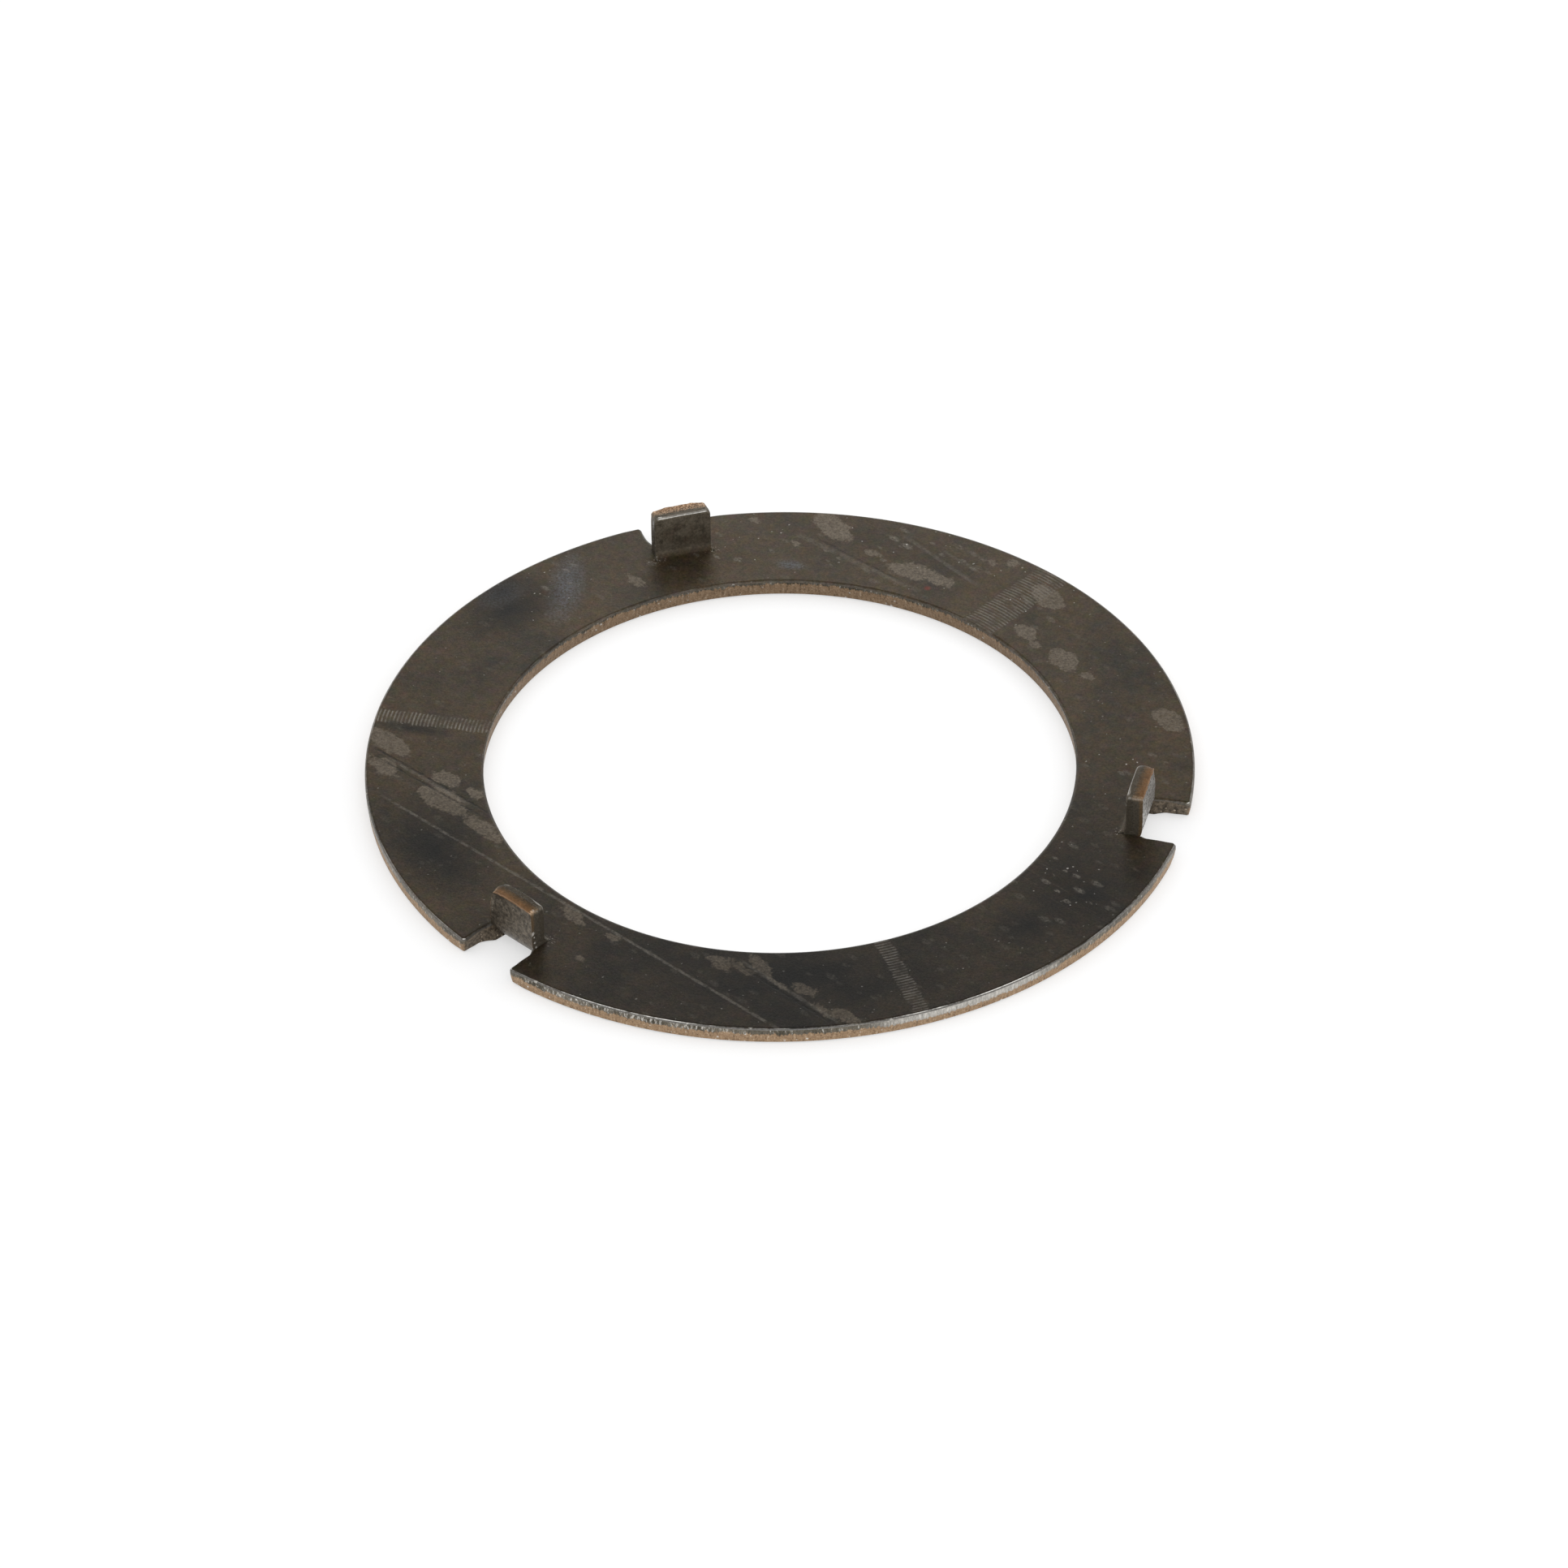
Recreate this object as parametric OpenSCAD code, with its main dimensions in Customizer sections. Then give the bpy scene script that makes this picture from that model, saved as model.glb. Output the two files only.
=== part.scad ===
// Thrust washer with anti-rotation tabs.
// One flat ring is blanked from sheet steel. Narrow slits cut in from the rim free a short tongue at each tab,
// and the tongue is folded up square to the ring, which leaves an open notch outside it.
// The bore's axis is Z, the flat back face lies on Z = 0, the tabs point up, and the first tab is on +X.

/* [Ring] */
// Diameter of the bore, measured on its burnished land
bore_d = 70; // [30:0.5:160]
// Radial width of the ring, from the bore to the rim
ring_w = 14; // [10:0.1:30]
// Thickness of the sheet
sheet_t = 2; // [1.5:0.05:2.6]

/* [Tabs] */
// Number of tabs, evenly spaced round the rim
tab_count = 3; // [2:1:6]
// Width of a tab
tab_w = 7; // [4:0.1:12]
// Flat length of a tab, which is also the distance from the fold line to the rim
tab_length = 7.3; // [6:0.1:9]
// Width of the slit on each side of a tab
slit_w = 0.15; // [0.1:0.05:0.6]
// Inside radius of the fold
fold_r = 0.9; // [0.4:0.05:1.4]
// Corner radius of the tab's tip
tip_corner_r = 1; // [0.5:0.05:1.6]
// Corner radius of the ring where the slits leave the rim
notch_corner_r = 0.5; // [0.4:0.05:0.9]

/* [Sheared edges] */
// How far the rolled-over edge reaches in over the top face
roll_w = 0.36; // [0.3:0.02:0.44]
// How far the rolled-over edge reaches down the wall
roll_h = 0.21; // [0.16:0.01:0.26]
// Share of the thickness that is rough fracture, measured from the back face
fracture_share = 0.6; // [0.3:0.05:0.65]
// How far the fracture zone breaks back from the burnished land
fracture_back = 0.14; // [0.04:0.02:0.24]

/* [Hidden] */
$fn = 96;

bore_r = bore_d / 2;
rim_r = bore_r + ring_w;
fold_line_r = rim_r - tab_length;
notch_w = tab_w + 2 * slit_w;
fracture_h = fracture_share * sheet_t;
// Flat length that the fold takes up, measured on the sheet's neutral layer.
neutral_layer = 0.35;
fold_length = PI / 2 * (fold_r + neutral_layer * sheet_t);
tab_leg = tab_length - fold_length;
// The arc of the rolled edge runs through the two points that roll_w and roll_h give.
roll_arc_r = 0.66;
roll_chord = sqrt(roll_w * roll_w + roll_h * roll_h);
roll_centre_gap = sqrt(roll_arc_r * roll_arc_r - roll_chord * roll_chord / 4);
roll_centre_in = roll_w / 2 + roll_centre_gap * roll_h / roll_chord;
roll_centre_down = roll_h / 2 + roll_centre_gap * roll_w / roll_chord;
// A corner circle stands this share of its radius nearer to the edges, so that it crosses them cleanly.
corner_bite = 0.04;
// How far cutting shapes run past the faces that they cut.
overcut = 1;

steel = [0.24, 0.22, 0.19];

// Section of what the shear rolls off the top edge of a wall at x = 0 whose material lies on the -X side.
module rolled_off() {
    translate([-roll_centre_in, sheet_t - roll_centre_down]) {
        difference() {
            square(roll_centre_down + overcut);
            circle(r = roll_arc_r);
        }
    }
}

// Section of sheet between two sheared walls, with the rolled edges on top and the fracture zones below.
module sheet_section(left, right) {
    difference() {
        polygon([
            [left + fracture_back, 0],
            [right - fracture_back, 0],
            [right, fracture_h],
            [right, sheet_t],
            [left, sheet_t],
            [left, fracture_h]
        ]);
        translate([right, 0]) rolled_off();
        translate([left, 0]) mirror([1, 0]) rolled_off();
    }
}

// Section of the gap between two sheared walls, running past both faces of the sheet.
module gap_section(left, right) {
    foot = fracture_back * (fracture_h + overcut) / fracture_h;
    polygon([
        [left - foot, -overcut],
        [right + foot, -overcut],
        [right, fracture_h],
        [right, sheet_t + overcut],
        [left, sheet_t + overcut],
        [left, fracture_h]
    ]);
    translate([left, 0]) rolled_off();
    translate([right, 0]) mirror([1, 0]) rolled_off();
}

// Runs a section along +X for the given length, with the section's own x across and its y upward.
module along_x(length) {
    rotate([90, 0, 90]) linear_extrude(length) children();
}

// The ring as it is blanked, before the tabs are slit and folded.
module blank() {
    rotate_extrude() sheet_section(bore_r, rim_r);
}

// Rounds off the corner between the rim and a slit wall at the given y. The material lies on the -Y side of
// the wall when side is 1 and on its +Y side when side is -1.
module corner_off(wall_y, side, radius) {
    inset = radius * (1 - corner_bite);
    centre_y = wall_y - side * inset;
    centre_x = sqrt((rim_r - inset) * (rim_r - inset) - centre_y * centre_y);
    translate([centre_x, centre_y, -overcut]) {
        linear_extrude(sheet_t + 2 * overcut) {
            difference() {
                translate([0, side > 0 ? 0 : -radius - overcut]) square(radius + overcut);
                circle(r = radius);
            }
        }
    }
}

// What the press takes from the ring at one tab, with the tab on +X.
module notch() {
    translate([fold_line_r, 0, 0]) along_x(tab_length + overcut) gap_section(-notch_w / 2, notch_w / 2);
    for (side = [-1, 1]) corner_off(side * notch_w / 2, -side, notch_corner_r);
}

// The straight end of a tab while it is still flat. It starts at x = 0 and ends in the blank's own rim.
module flat_leg() {
    intersection() {
        translate([-fold_line_r - fold_length, 0, 0]) {
            difference() {
                blank();
                for (side = [-1, 1]) corner_off(side * tab_w / 2, side, tip_corner_r);
            }
        }
        along_x(tab_leg + overcut) sheet_section(-tab_w / 2, tab_w / 2);
    }
}

// One folded tab on +X.
module tab() {
    translate([fold_line_r, 0, sheet_t + fold_r]) {
        rotate([90, 90, 0]) rotate_extrude(angle = 90) {
            translate([fold_r + sheet_t, 0]) rotate(90) sheet_section(-tab_w / 2, tab_w / 2);
        }
        translate([fold_r + sheet_t, 0, 0]) rotate([0, -90, 0]) flat_leg();
    }
}

module thrust_washer() {
    difference() {
        blank();
        for (i = [0 : tab_count - 1]) rotate(i * 360 / tab_count) notch();
    }
    for (i = [0 : tab_count - 1]) rotate(i * 360 / tab_count) tab();
}

color(steel) thrust_washer();
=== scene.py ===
"""Dress the tabbed thrust washer: a blanked steel ring with three tabs lanced from its rim and folded up.

One flat sector of the blank is built as a mesh, with the sheared edge that runs round every outline.
A Geometry Nodes tree folds the tab, repeats the sector round the bore's axis and breaks up the fracture zone.
Torn webs and worn corners are then drawn into the mesh, and marks of use and patches of painted shade are
stored on it.  Three materials
read them: the dark oxide face, the sheared edge and the back face, which also carry painted highlights.
"""

import logging
import math
from dataclasses import dataclass, field, replace
from enum import Enum, IntEnum
from functools import reduce

import bpy
import numpy as np
from mathutils import Matrix, Vector
from mathutils.geometry import delaunay_2d_cdt


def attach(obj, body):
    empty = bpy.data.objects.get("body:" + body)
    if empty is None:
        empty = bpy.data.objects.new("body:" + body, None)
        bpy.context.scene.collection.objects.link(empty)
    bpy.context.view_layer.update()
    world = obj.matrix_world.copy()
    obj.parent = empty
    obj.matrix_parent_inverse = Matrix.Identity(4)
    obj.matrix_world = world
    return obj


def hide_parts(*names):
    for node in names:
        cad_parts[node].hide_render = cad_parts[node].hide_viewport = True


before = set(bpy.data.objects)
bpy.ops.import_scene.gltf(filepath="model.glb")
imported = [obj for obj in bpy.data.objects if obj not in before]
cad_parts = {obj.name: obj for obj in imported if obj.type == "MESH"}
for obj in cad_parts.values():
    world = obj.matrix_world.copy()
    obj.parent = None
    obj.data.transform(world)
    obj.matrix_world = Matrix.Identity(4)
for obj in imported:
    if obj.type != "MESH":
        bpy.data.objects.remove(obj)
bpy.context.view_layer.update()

LOG = logging.getLogger("thrust_washer")
MM = 0.001
PER_M = 1000.0

Colour = tuple[float, float, float, float]
Way = tuple[float, float, float]
Pair = tuple[float, float]
Mesh = bpy.types.Mesh
Material = bpy.types.Material
Node = bpy.types.Node
Tree = bpy.types.NodeTree
Socket = bpy.types.NodeSocket
Sockets = bpy.types.bpy_prop_collection
Value = Socket | float | tuple

TO_RIGHT: Way = (1.0, 0.0, 0.0)
TO_BACK: Way = (0.0, 1.0, 0.0)
UPWARD: Way = (0.0, 0.0, 1.0)
LEVEL: Way = (1.0, 1.0, 0.0)
WHITE: Colour = (1.0, 1.0, 1.0, 1.0)


class Zone(IntEnum):
    """Which finish a face of the sheet takes."""

    OXIDE = 0
    SHEAR = 1
    BACK = 2


class Field(str, Enum):
    """Names of the values that the washer's mesh carries for its tree and its materials."""

    DEPTH = "sheet_depth"
    RUN = "outline_run"
    EDGE = "edge_near"
    LIP = "lip"
    SECTOR = "sector"
    ZONE = "zone"
    FOLD = "fold_turn"
    RUB = "rub"
    SOOT = "soot"
    BLUE = "blue"
    SCUFF = "scuff"
    TEAR = "tear"
    TIP = "tip"
    WALL = "wall"


class Kind(str, Enum):
    """Types of the sockets on the node groups."""

    NUMBER = "NodeSocketFloat"
    COUNT = "NodeSocketInt"
    VECTOR = "NodeSocketVector"
    COLOUR = "NodeSocketColor"
    SHAPE = "NodeSocketGeometry"
    MATERIAL = "NodeSocketMaterial"


Kinds = dict[str, Kind]


def spaced(low: float, high: float, steps: int) -> list[float]:
    """Give evenly spaced values from low on, without high."""
    return [low + (high - low) * step / steps for step in range(steps)]


def read_places(mesh: Mesh) -> np.ndarray:
    """Read the points of a mesh.

    Args:
        mesh: the mesh, in metres.

    Returns:
        Its points in millimetres, one row each.
    """
    flat = np.empty(len(mesh.vertices) * 3)
    mesh.vertices.foreach_get("co", flat)
    return flat.reshape(-1, 3) * PER_M


def store_values(mesh: Mesh, name: Field, values: object, kind: str = "FLOAT", domain: str = "POINT") -> None:
    """Store values on a mesh under a field's name."""
    mesh.attributes.new(name.value, kind, domain).data.foreach_set("value", values)


class Sketch:
    """Adds nodes to one tree and joins them with short calls.

    A value is a plain one or the output of another node.
    """

    def __init__(self, tree: Tree) -> None:
        """Keep the tree that the nodes go into."""
        self.tree = tree

    def declare(self, in_out: str, kinds: Kinds) -> dict[str, object]:
        """Add named sockets to the tree's interface, and give them by name."""
        new = self.tree.interface.new_socket
        return {name: new(name=name, in_out=in_out, socket_type=kind.value) for name, kind in kinds.items()}

    def feed(self, socket: Socket, value: Value) -> None:
        """Join an input to another node's output, or set its plain value."""
        if isinstance(value, Socket):
            self.tree.links.new(value, socket)
        else:
            socket.default_value = value

    def node(self, name: str, settings: dict | None = None, inputs: dict | None = None) -> Node:
        """Add one node.

        Args:
            name: the node's type name.
            settings: its own properties by name.
            inputs: values for its inputs, by name or number.

        Returns:
            The new node.
        """
        node = self.tree.nodes.new(name)
        for key, value in (settings or {}).items():
            setattr(node, key, value)
        for key, value in (inputs or {}).items():
            self.feed(node.inputs[key], value)
        return node

    def math(self, operation: str, *values: Value) -> Socket:
        """Work on numbers."""
        return self.node("ShaderNodeMath", {"operation": operation}, dict(enumerate(values))).outputs[0]

    def times(self, *values: Value) -> Socket:
        """Multiply numbers."""
        return reduce(lambda product, value: self.math("MULTIPLY", product, value), values)

    def most(self, *values: Value) -> Socket:
        """Give the largest of some numbers."""
        return reduce(lambda largest, value: self.math("MAXIMUM", largest, value), values)

    def sway(self, base: Value, noise: Value, amount: Value) -> Socket:
        """Shift a number by noise that runs round 0.5."""
        return self.math("MULTIPLY_ADD", self.math("SUBTRACT", noise, 0.5), amount, base)

    def vector(self, operation: str, *values: Value) -> Socket:
        """Work on vectors and give the vector."""
        return self.node("ShaderNodeVectorMath", {"operation": operation}, dict(enumerate(values))).outputs[0]

    def measure(self, operation: str, *values: Value) -> Socket:
        """Work on vectors and give the number."""
        return self.node("ShaderNodeVectorMath", {"operation": operation}, dict(enumerate(values))).outputs[1]

    def scaled(self, vector: Value, scale: Value) -> Socket:
        """Multiply a vector by one number."""
        inputs = {0: vector, "Scale": scale}
        return self.node("ShaderNodeVectorMath", {"operation": "SCALE"}, inputs).outputs[0]

    def combine(self, x: Value, y: Value, z: Value) -> Socket:
        """Put three numbers together as a vector."""
        return self.node("ShaderNodeCombineXYZ", None, {0: x, 1: y, 2: z}).outputs[0]

    def smooth(self, value: Value, low: float, high: float) -> Socket:
        """Ramp a number softly from 0 at low to 1 at high."""
        inputs = {"Value": value, "From Min": low, "From Max": high}
        return self.node("ShaderNodeMapRange", {"interpolation_type": "SMOOTHSTEP"}, inputs).outputs[0]

    def hump(self, value: Value, rise: Pair, fall: Pair) -> Socket:
        """Ramp a number up over one span and down over another, each from 0 to 1."""
        return self.times(self.smooth(value, *rise), self.smooth(value, *fall))

    def remap(self, value: Value, low: float, high: float) -> Socket:
        """Spread a number that runs from 0 to 1 over another range."""
        inputs = {"Value": value, "To Min": low, "To Max": high}
        return self.node("ShaderNodeMapRange", None, inputs).outputs[0]

    def mix(self, share: Value, first: Value, second: Value, blend: str = "MIX") -> Socket:
        """Mix a share of the second colour into the first."""
        settings = {"data_type": "RGBA", "blend_type": blend}
        return self.node("ShaderNodeMix", settings, {0: share, 6: first, 7: second}).outputs[2]

    def shaded(self, colour: Value, factor: Value) -> Socket:
        """Multiply a colour by a number or by another colour."""
        return self.mix(1.0, colour, factor, "MULTIPLY")

    def noise(self, vector: Value, scale: Value, detail: float, rough: float) -> Socket:
        """Give soft random numbers round 0.5, with scale blotches to one unit."""
        inputs = {"Vector": vector, "Scale": scale, "Detail": detail, "Roughness": rough}
        return self.node("ShaderNodeTexNoise", None, inputs).outputs[0]


class Effects:
    """Shader node groups that the finishes use more than once, each built once."""

    def __init__(self) -> None:
        """Build the groups."""
        self.mottle = self._mottle()
        self.flecks = self._flecks()
        self.drag_line = self._drag_line()
        self.jaw_marks = self._jaw_marks()

    @staticmethod
    def _open(name: str, inputs: Kinds, outputs: Kinds) -> tuple[Sketch, Sockets, Sockets]:
        """Open a group with its sockets.

        Args:
            name: the group's name.
            inputs: each input's name and type.
            outputs: each output's name and type.

        Returns:
            The sketch, what the group is given, and what it gives.
        """
        s = Sketch(bpy.data.node_groups.new(name, "ShaderNodeTree"))
        s.declare("INPUT", inputs)
        s.declare("OUTPUT", outputs)
        return s, s.node("NodeGroupInput").outputs, s.node("NodeGroupOutput").inputs

    def _mottle(self) -> Tree:
        """Build the group that mixes two colours in soft blotches.

        Returns:
            The group.
        """
        inputs = {"Vector": Kind.VECTOR, "Scale": Kind.NUMBER, "Sharpness": Kind.NUMBER}
        inputs.update({"Dark": Kind.COLOUR, "Light": Kind.COLOUR})
        s, given, gives = self._open("soft mottle", inputs, {"Color": Kind.COLOUR, "Mask": Kind.NUMBER})
        blotch = s.noise(given["Vector"], given["Scale"], 6.0, 0.62)
        mask = s.smooth(s.sway(0.5, blotch, given["Sharpness"]), 0.0, 1.0)
        s.feed(gives["Color"], s.mix(mask, given["Dark"], given["Light"]))
        s.feed(gives["Mask"], mask)
        return s.tree

    def _flecks(self) -> Tree:
        """Build the group that scatters small spots.

        Returns:
            The group.
        """
        inputs = {"Vector": Kind.VECTOR, "Per Unit": Kind.NUMBER, "Share": Kind.NUMBER, "Size": Kind.NUMBER}
        s, given, gives = self._open("small flecks", inputs, {"Mask": Kind.NUMBER})
        bent = s.noise(given["Vector"], 3.1, 2.0, 0.5)
        place = s.vector("ADD", given["Vector"], s.scaled(s.combine(bent, bent, 0.0), 0.35))
        inputs = {"Vector": place, "Scale": given["Per Unit"]}
        cells = s.node("ShaderNodeTexVoronoi", {"feature": "F1"}, inputs).outputs
        pick = s.node("ShaderNodeSeparateColor", None, {0: cells["Color"]}).outputs
        chosen = s.math("LESS_THAN", pick[0], given["Share"])
        reach = s.times(given["Size"], s.remap(pick[1], 0.35, 1.0))
        inside = s.math("SUBTRACT", reach, cells["Distance"])
        s.feed(gives["Mask"], s.times(s.smooth(s.math("DIVIDE", inside, reach), 0.0, 0.5), chosen))
        return s.tree

    def _drag_line(self) -> Tree:
        """Build the group that draws one straight drag mark.

        Returns:
            The group.
        """
        inputs = {"Vector": Kind.VECTOR, "Start": Kind.VECTOR, "Run": Kind.VECTOR, "Width": Kind.NUMBER}
        s, given, gives = self._open("drag line", inputs, {"Mask": Kind.NUMBER})
        flat = s.vector("MULTIPLY", given["Vector"], LEVEL)
        away = s.vector("SUBTRACT", flat, given["Start"])
        along = s.measure("DOT_PRODUCT", away, given["Run"])
        length_2 = s.measure("DOT_PRODUCT", given["Run"], given["Run"])
        share = s.node("ShaderNodeClamp", None, {0: s.math("DIVIDE", along, length_2)}).outputs[0]
        gap = s.measure("DISTANCE", away, s.scaled(given["Run"], share))
        near = s.math("DIVIDE", s.sway(gap, s.noise(flat, 0.6, 3.0, 0.6), 0.35), given["Width"])
        ends = s.hump(share, (0.0, 0.08), (1.0, 0.88))
        broken = s.smooth(s.noise(flat, 1.1, 4.0, 0.7), 0.3, 0.62)
        s.feed(gives["Mask"], s.times(s.smooth(near, 1.0, 0.25), ends, broken))
        return s.tree

    def _jaw_marks(self) -> Tree:
        """Build the group that draws one band of short ticks across the ring.

        Returns:
            The group.
        """
        inputs = {"Vector": Kind.VECTOR, "Along": Kind.VECTOR, "Across": Kind.VECTOR}
        inputs.update({"Half Width": Kind.NUMBER, "Pitch": Kind.NUMBER})
        s, given, gives = self._open("jaw marks", inputs, {"Band": Kind.NUMBER, "Ticks": Kind.NUMBER})
        along = s.measure("DOT_PRODUCT", given["Vector"], given["Along"])
        across = s.measure("DOT_PRODUCT", given["Vector"], given["Across"])
        rough_width = s.sway(s.math("ABSOLUTE", across), s.noise(given["Vector"], 0.8, 4.0, 0.65), 1.6)
        inside = s.math("SUBTRACT", given["Half Width"], rough_width)
        band = s.times(s.smooth(inside, -0.12, 0.18), s.smooth(along, 20.0, 30.0))
        bow = s.times(across, across, 0.035)
        turns = s.math("DIVIDE", s.math("ADD", along, bow), given["Pitch"])
        stroke = s.smooth(s.math("SINE", s.times(turns, math.tau)), -0.35, 0.75)
        uneven = s.remap(s.smooth(s.noise(given["Vector"], 0.55, 3.0, 0.6), 0.3, 0.65), 0.12, 1.1)
        s.feed(gives["Band"], band)
        s.feed(gives["Ticks"], s.times(stroke, uneven, band))
        return s.tree


class Paint(Sketch):
    """One material's tree, with its shader, the place on the piece in millimetres and the shared effects."""

    def __init__(self, name: str, effects: Effects) -> None:
        """Open a material with one shader.

        Args:
            name: the material's name.
            effects: the shared node groups.
        """
        self.material = bpy.data.materials.new(name)
        self.material.use_nodes = True
        super().__init__(self.material.node_tree)
        self.tree.nodes.clear()
        self.effects = effects
        self.shader = self.node("ShaderNodeBsdfPrincipled")
        self.feed(self.node("ShaderNodeOutputMaterial").inputs["Surface"], self.shader.outputs[0])
        self.place = self.scaled(self.node("ShaderNodeTexCoord").outputs["Object"], PER_M)

    def stored(self, name: Field) -> Socket:
        """Give one of the values that the mesh carries."""
        return self.node("ShaderNodeAttribute", {"attribute_name": name.value}).outputs["Fac"]

    def spread(self, scale: float, detail: float, rough: float) -> Socket:
        """Give soft random numbers round 0.5 over the piece, with scale blotches to a millimetre."""
        return self.noise(self.place, scale, detail, rough)

    def toward(self, way: Way, low: float, high: float) -> Socket:
        """Ramp from 0 to 1 between two distances along a way, in millimetres."""
        return self.smooth(self.measure("DOT_PRODUCT", self.place, way), low, high)

    def from_axis(self, low: float, high: float) -> Socket:
        """Ramp from 0 to 1 between two distances from the bore's axis, in millimetres."""
        return self.smooth(self.measure("LENGTH", self.vector("MULTIPLY", self.place, LEVEL)), low, high)

    def group(self, tree: Tree, inputs: dict[str, Value]) -> Sockets:
        """Put one of the shared groups into the material and give its outputs."""
        return self.node("ShaderNodeGroup", {"node_tree": tree}, inputs).outputs

    def mottle(self, scale: float, sharpness: float, dark: Value, light: Value) -> Sockets:
        """Mix two colours in soft blotches, with scale blotches to a millimetre."""
        inputs = {"Vector": self.place, "Scale": scale, "Sharpness": sharpness, "Dark": dark, "Light": light}
        return self.group(self.effects.mottle, inputs)

    def flecks(self, per_mm: float, share: float, size: float, place: Socket | None = None) -> Socket:
        """Scatter small spots.

        Args:
            per_mm: how many cells come to a millimetre.
            share: how many of the cells hold a spot.
            size: the largest spot's radius, in cells.
            place: where they are read, if not at the place on the piece.

        Returns:
            The spots' mask.
        """
        vector = self.place if place is None else place
        inputs = {"Vector": vector, "Per Unit": per_mm, "Share": share, "Size": size}
        return self.group(self.effects.flecks, inputs)[0]

    def finish(self, values: dict[str, Value], relief: Socket, relief_mm: float) -> Material:
        """Join the values and a fine relief to the shader.

        Args:
            values: the shader's inputs by name.
            relief: the relief's height, from 0 to 1.
            relief_mm: what a height of 1 stands for.

        Returns:
            The finished material.
        """
        inputs = {"Strength": 1.0, "Distance": relief_mm * MM, "Height": relief}
        bump = self.node("ShaderNodeBump", None, inputs)
        for name, value in {**values, "Normal": bump.outputs[0]}.items():
            self.feed(self.shader.inputs[name], value)
        return self.material


class Reach(Enum):
    """Where a row of the sheared edge runs."""

    ROLL = "roll"
    LAND = "land"
    BREAK = "break"
    FOOT = "foot"
    FLAT = "flat"


@dataclass(frozen=True)
class EdgeRow:
    """One row of points round an outline, and the zone of the faces that follow it."""

    reach: Reach
    share: float
    zone: Zone
    edge: float


@dataclass(frozen=True)
class OutlinePoint:
    """One point of the blank's outline, with the way that faces out of the sheet there.

    The roll and sag say how wide and how deep the rolled edge is there, as shares of the plain edge.
    """

    x: float
    y: float
    out_x: float
    out_y: float
    roll: float = 1.0
    sag: float = 1.0
    tip: float = 0.0
    lip: float = 0.0
    wall: float = 0.0

    def mirrored(self) -> "OutlinePoint":
        """Give the same point on the other side of the tab."""
        return replace(self, y=-self.y, out_y=-self.out_y)


@dataclass(frozen=True)
class Sheet:
    """Sizes of the ring's sheet and of its sheared edge, in millimetres."""

    bore_r: float = 35.0
    rim_r: float = 48.98
    thickness: float = 2.0
    roll_w: float = 0.36
    roll_h: float = 0.21
    roll_arc_r: float = 0.66
    fracture_h: float = 1.2
    fracture_back: float = 0.14
    corner_break: float = 0.8
    flat_w: float = 0.06
    roll_steps: int = 6
    land_steps: int = 3
    break_steps: int = 6

    def rows(self) -> list[EdgeRow]:
        """Give the rows of the sheared edge, from the top face round to the back face.

        Returns:
            The rows, each with the zone of the faces below it.
        """
        rows = [EdgeRow(Reach.FLAT, 0.0, Zone.OXIDE, 0.0)]
        rows += [EdgeRow(Reach.ROLL, share, Zone.OXIDE, share) for share in spaced(0.0, 1.0, self.roll_steps)]
        rows += [EdgeRow(Reach.LAND, share, Zone.SHEAR, 1.0) for share in spaced(0.0, 1.0, self.land_steps)]
        rows += [EdgeRow(Reach.BREAK, share, Zone.SHEAR, 1.0) for share in spaced(0.0, 1.0, self.break_steps)]
        return rows + [EdgeRow(Reach.FOOT, 1.0, Zone.BACK, 1.0), EdgeRow(Reach.FLAT, 1.0, Zone.BACK, 0.0)]

    def _roll(self, share: float) -> Pair:
        """Give a place on the plain rolled edge.

        Args:
            share: how far round the edge, from the top face at 0 to the land at 1.

        Returns:
            How far in from the outline and how far below the top face.
        """
        chord = math.hypot(self.roll_w, self.roll_h)
        rise = math.sqrt(self.roll_arc_r**2 - chord**2 / 4)
        centre_in = self.roll_w / 2 + self.roll_h / chord * rise
        centre_down = self.roll_h / 2 + self.roll_w / chord * rise
        start = math.atan2(centre_down, centre_in - self.roll_w)
        end = math.atan2(centre_down - self.roll_h, centre_in)
        turn = start + (end - start) * share
        return centre_in - self.roll_arc_r * math.cos(turn), centre_down - self.roll_arc_r * math.sin(turn)

    def place(self, row: EdgeRow, point: OutlinePoint) -> Pair:
        """Give where one row passes one point of the outline.

        Args:
            row: the row.
            point: the point of the outline.

        Returns:
            How far in from the outline and how high above the back face.
        """
        roll_end = self.roll_h * point.roll * point.sag
        land_end = self.thickness - self.fracture_h
        if row.reach is Reach.FLAT:
            return self.roll_w * point.roll + self.flat_w, self.thickness * (1 - row.share)
        if row.reach is Reach.ROLL:
            inset, down = self._roll(row.share)
            return inset * point.roll, self.thickness - down * point.roll * point.sag
        if row.reach is Reach.LAND:
            return 0.0, self.thickness - roll_end - (land_end - roll_end) * row.share
        corner = 1 + self.corner_break * (point.sag - 1) * row.share**2
        return self.fracture_back * point.roll * corner * row.share, self.fracture_h * (1 - row.share)


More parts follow.
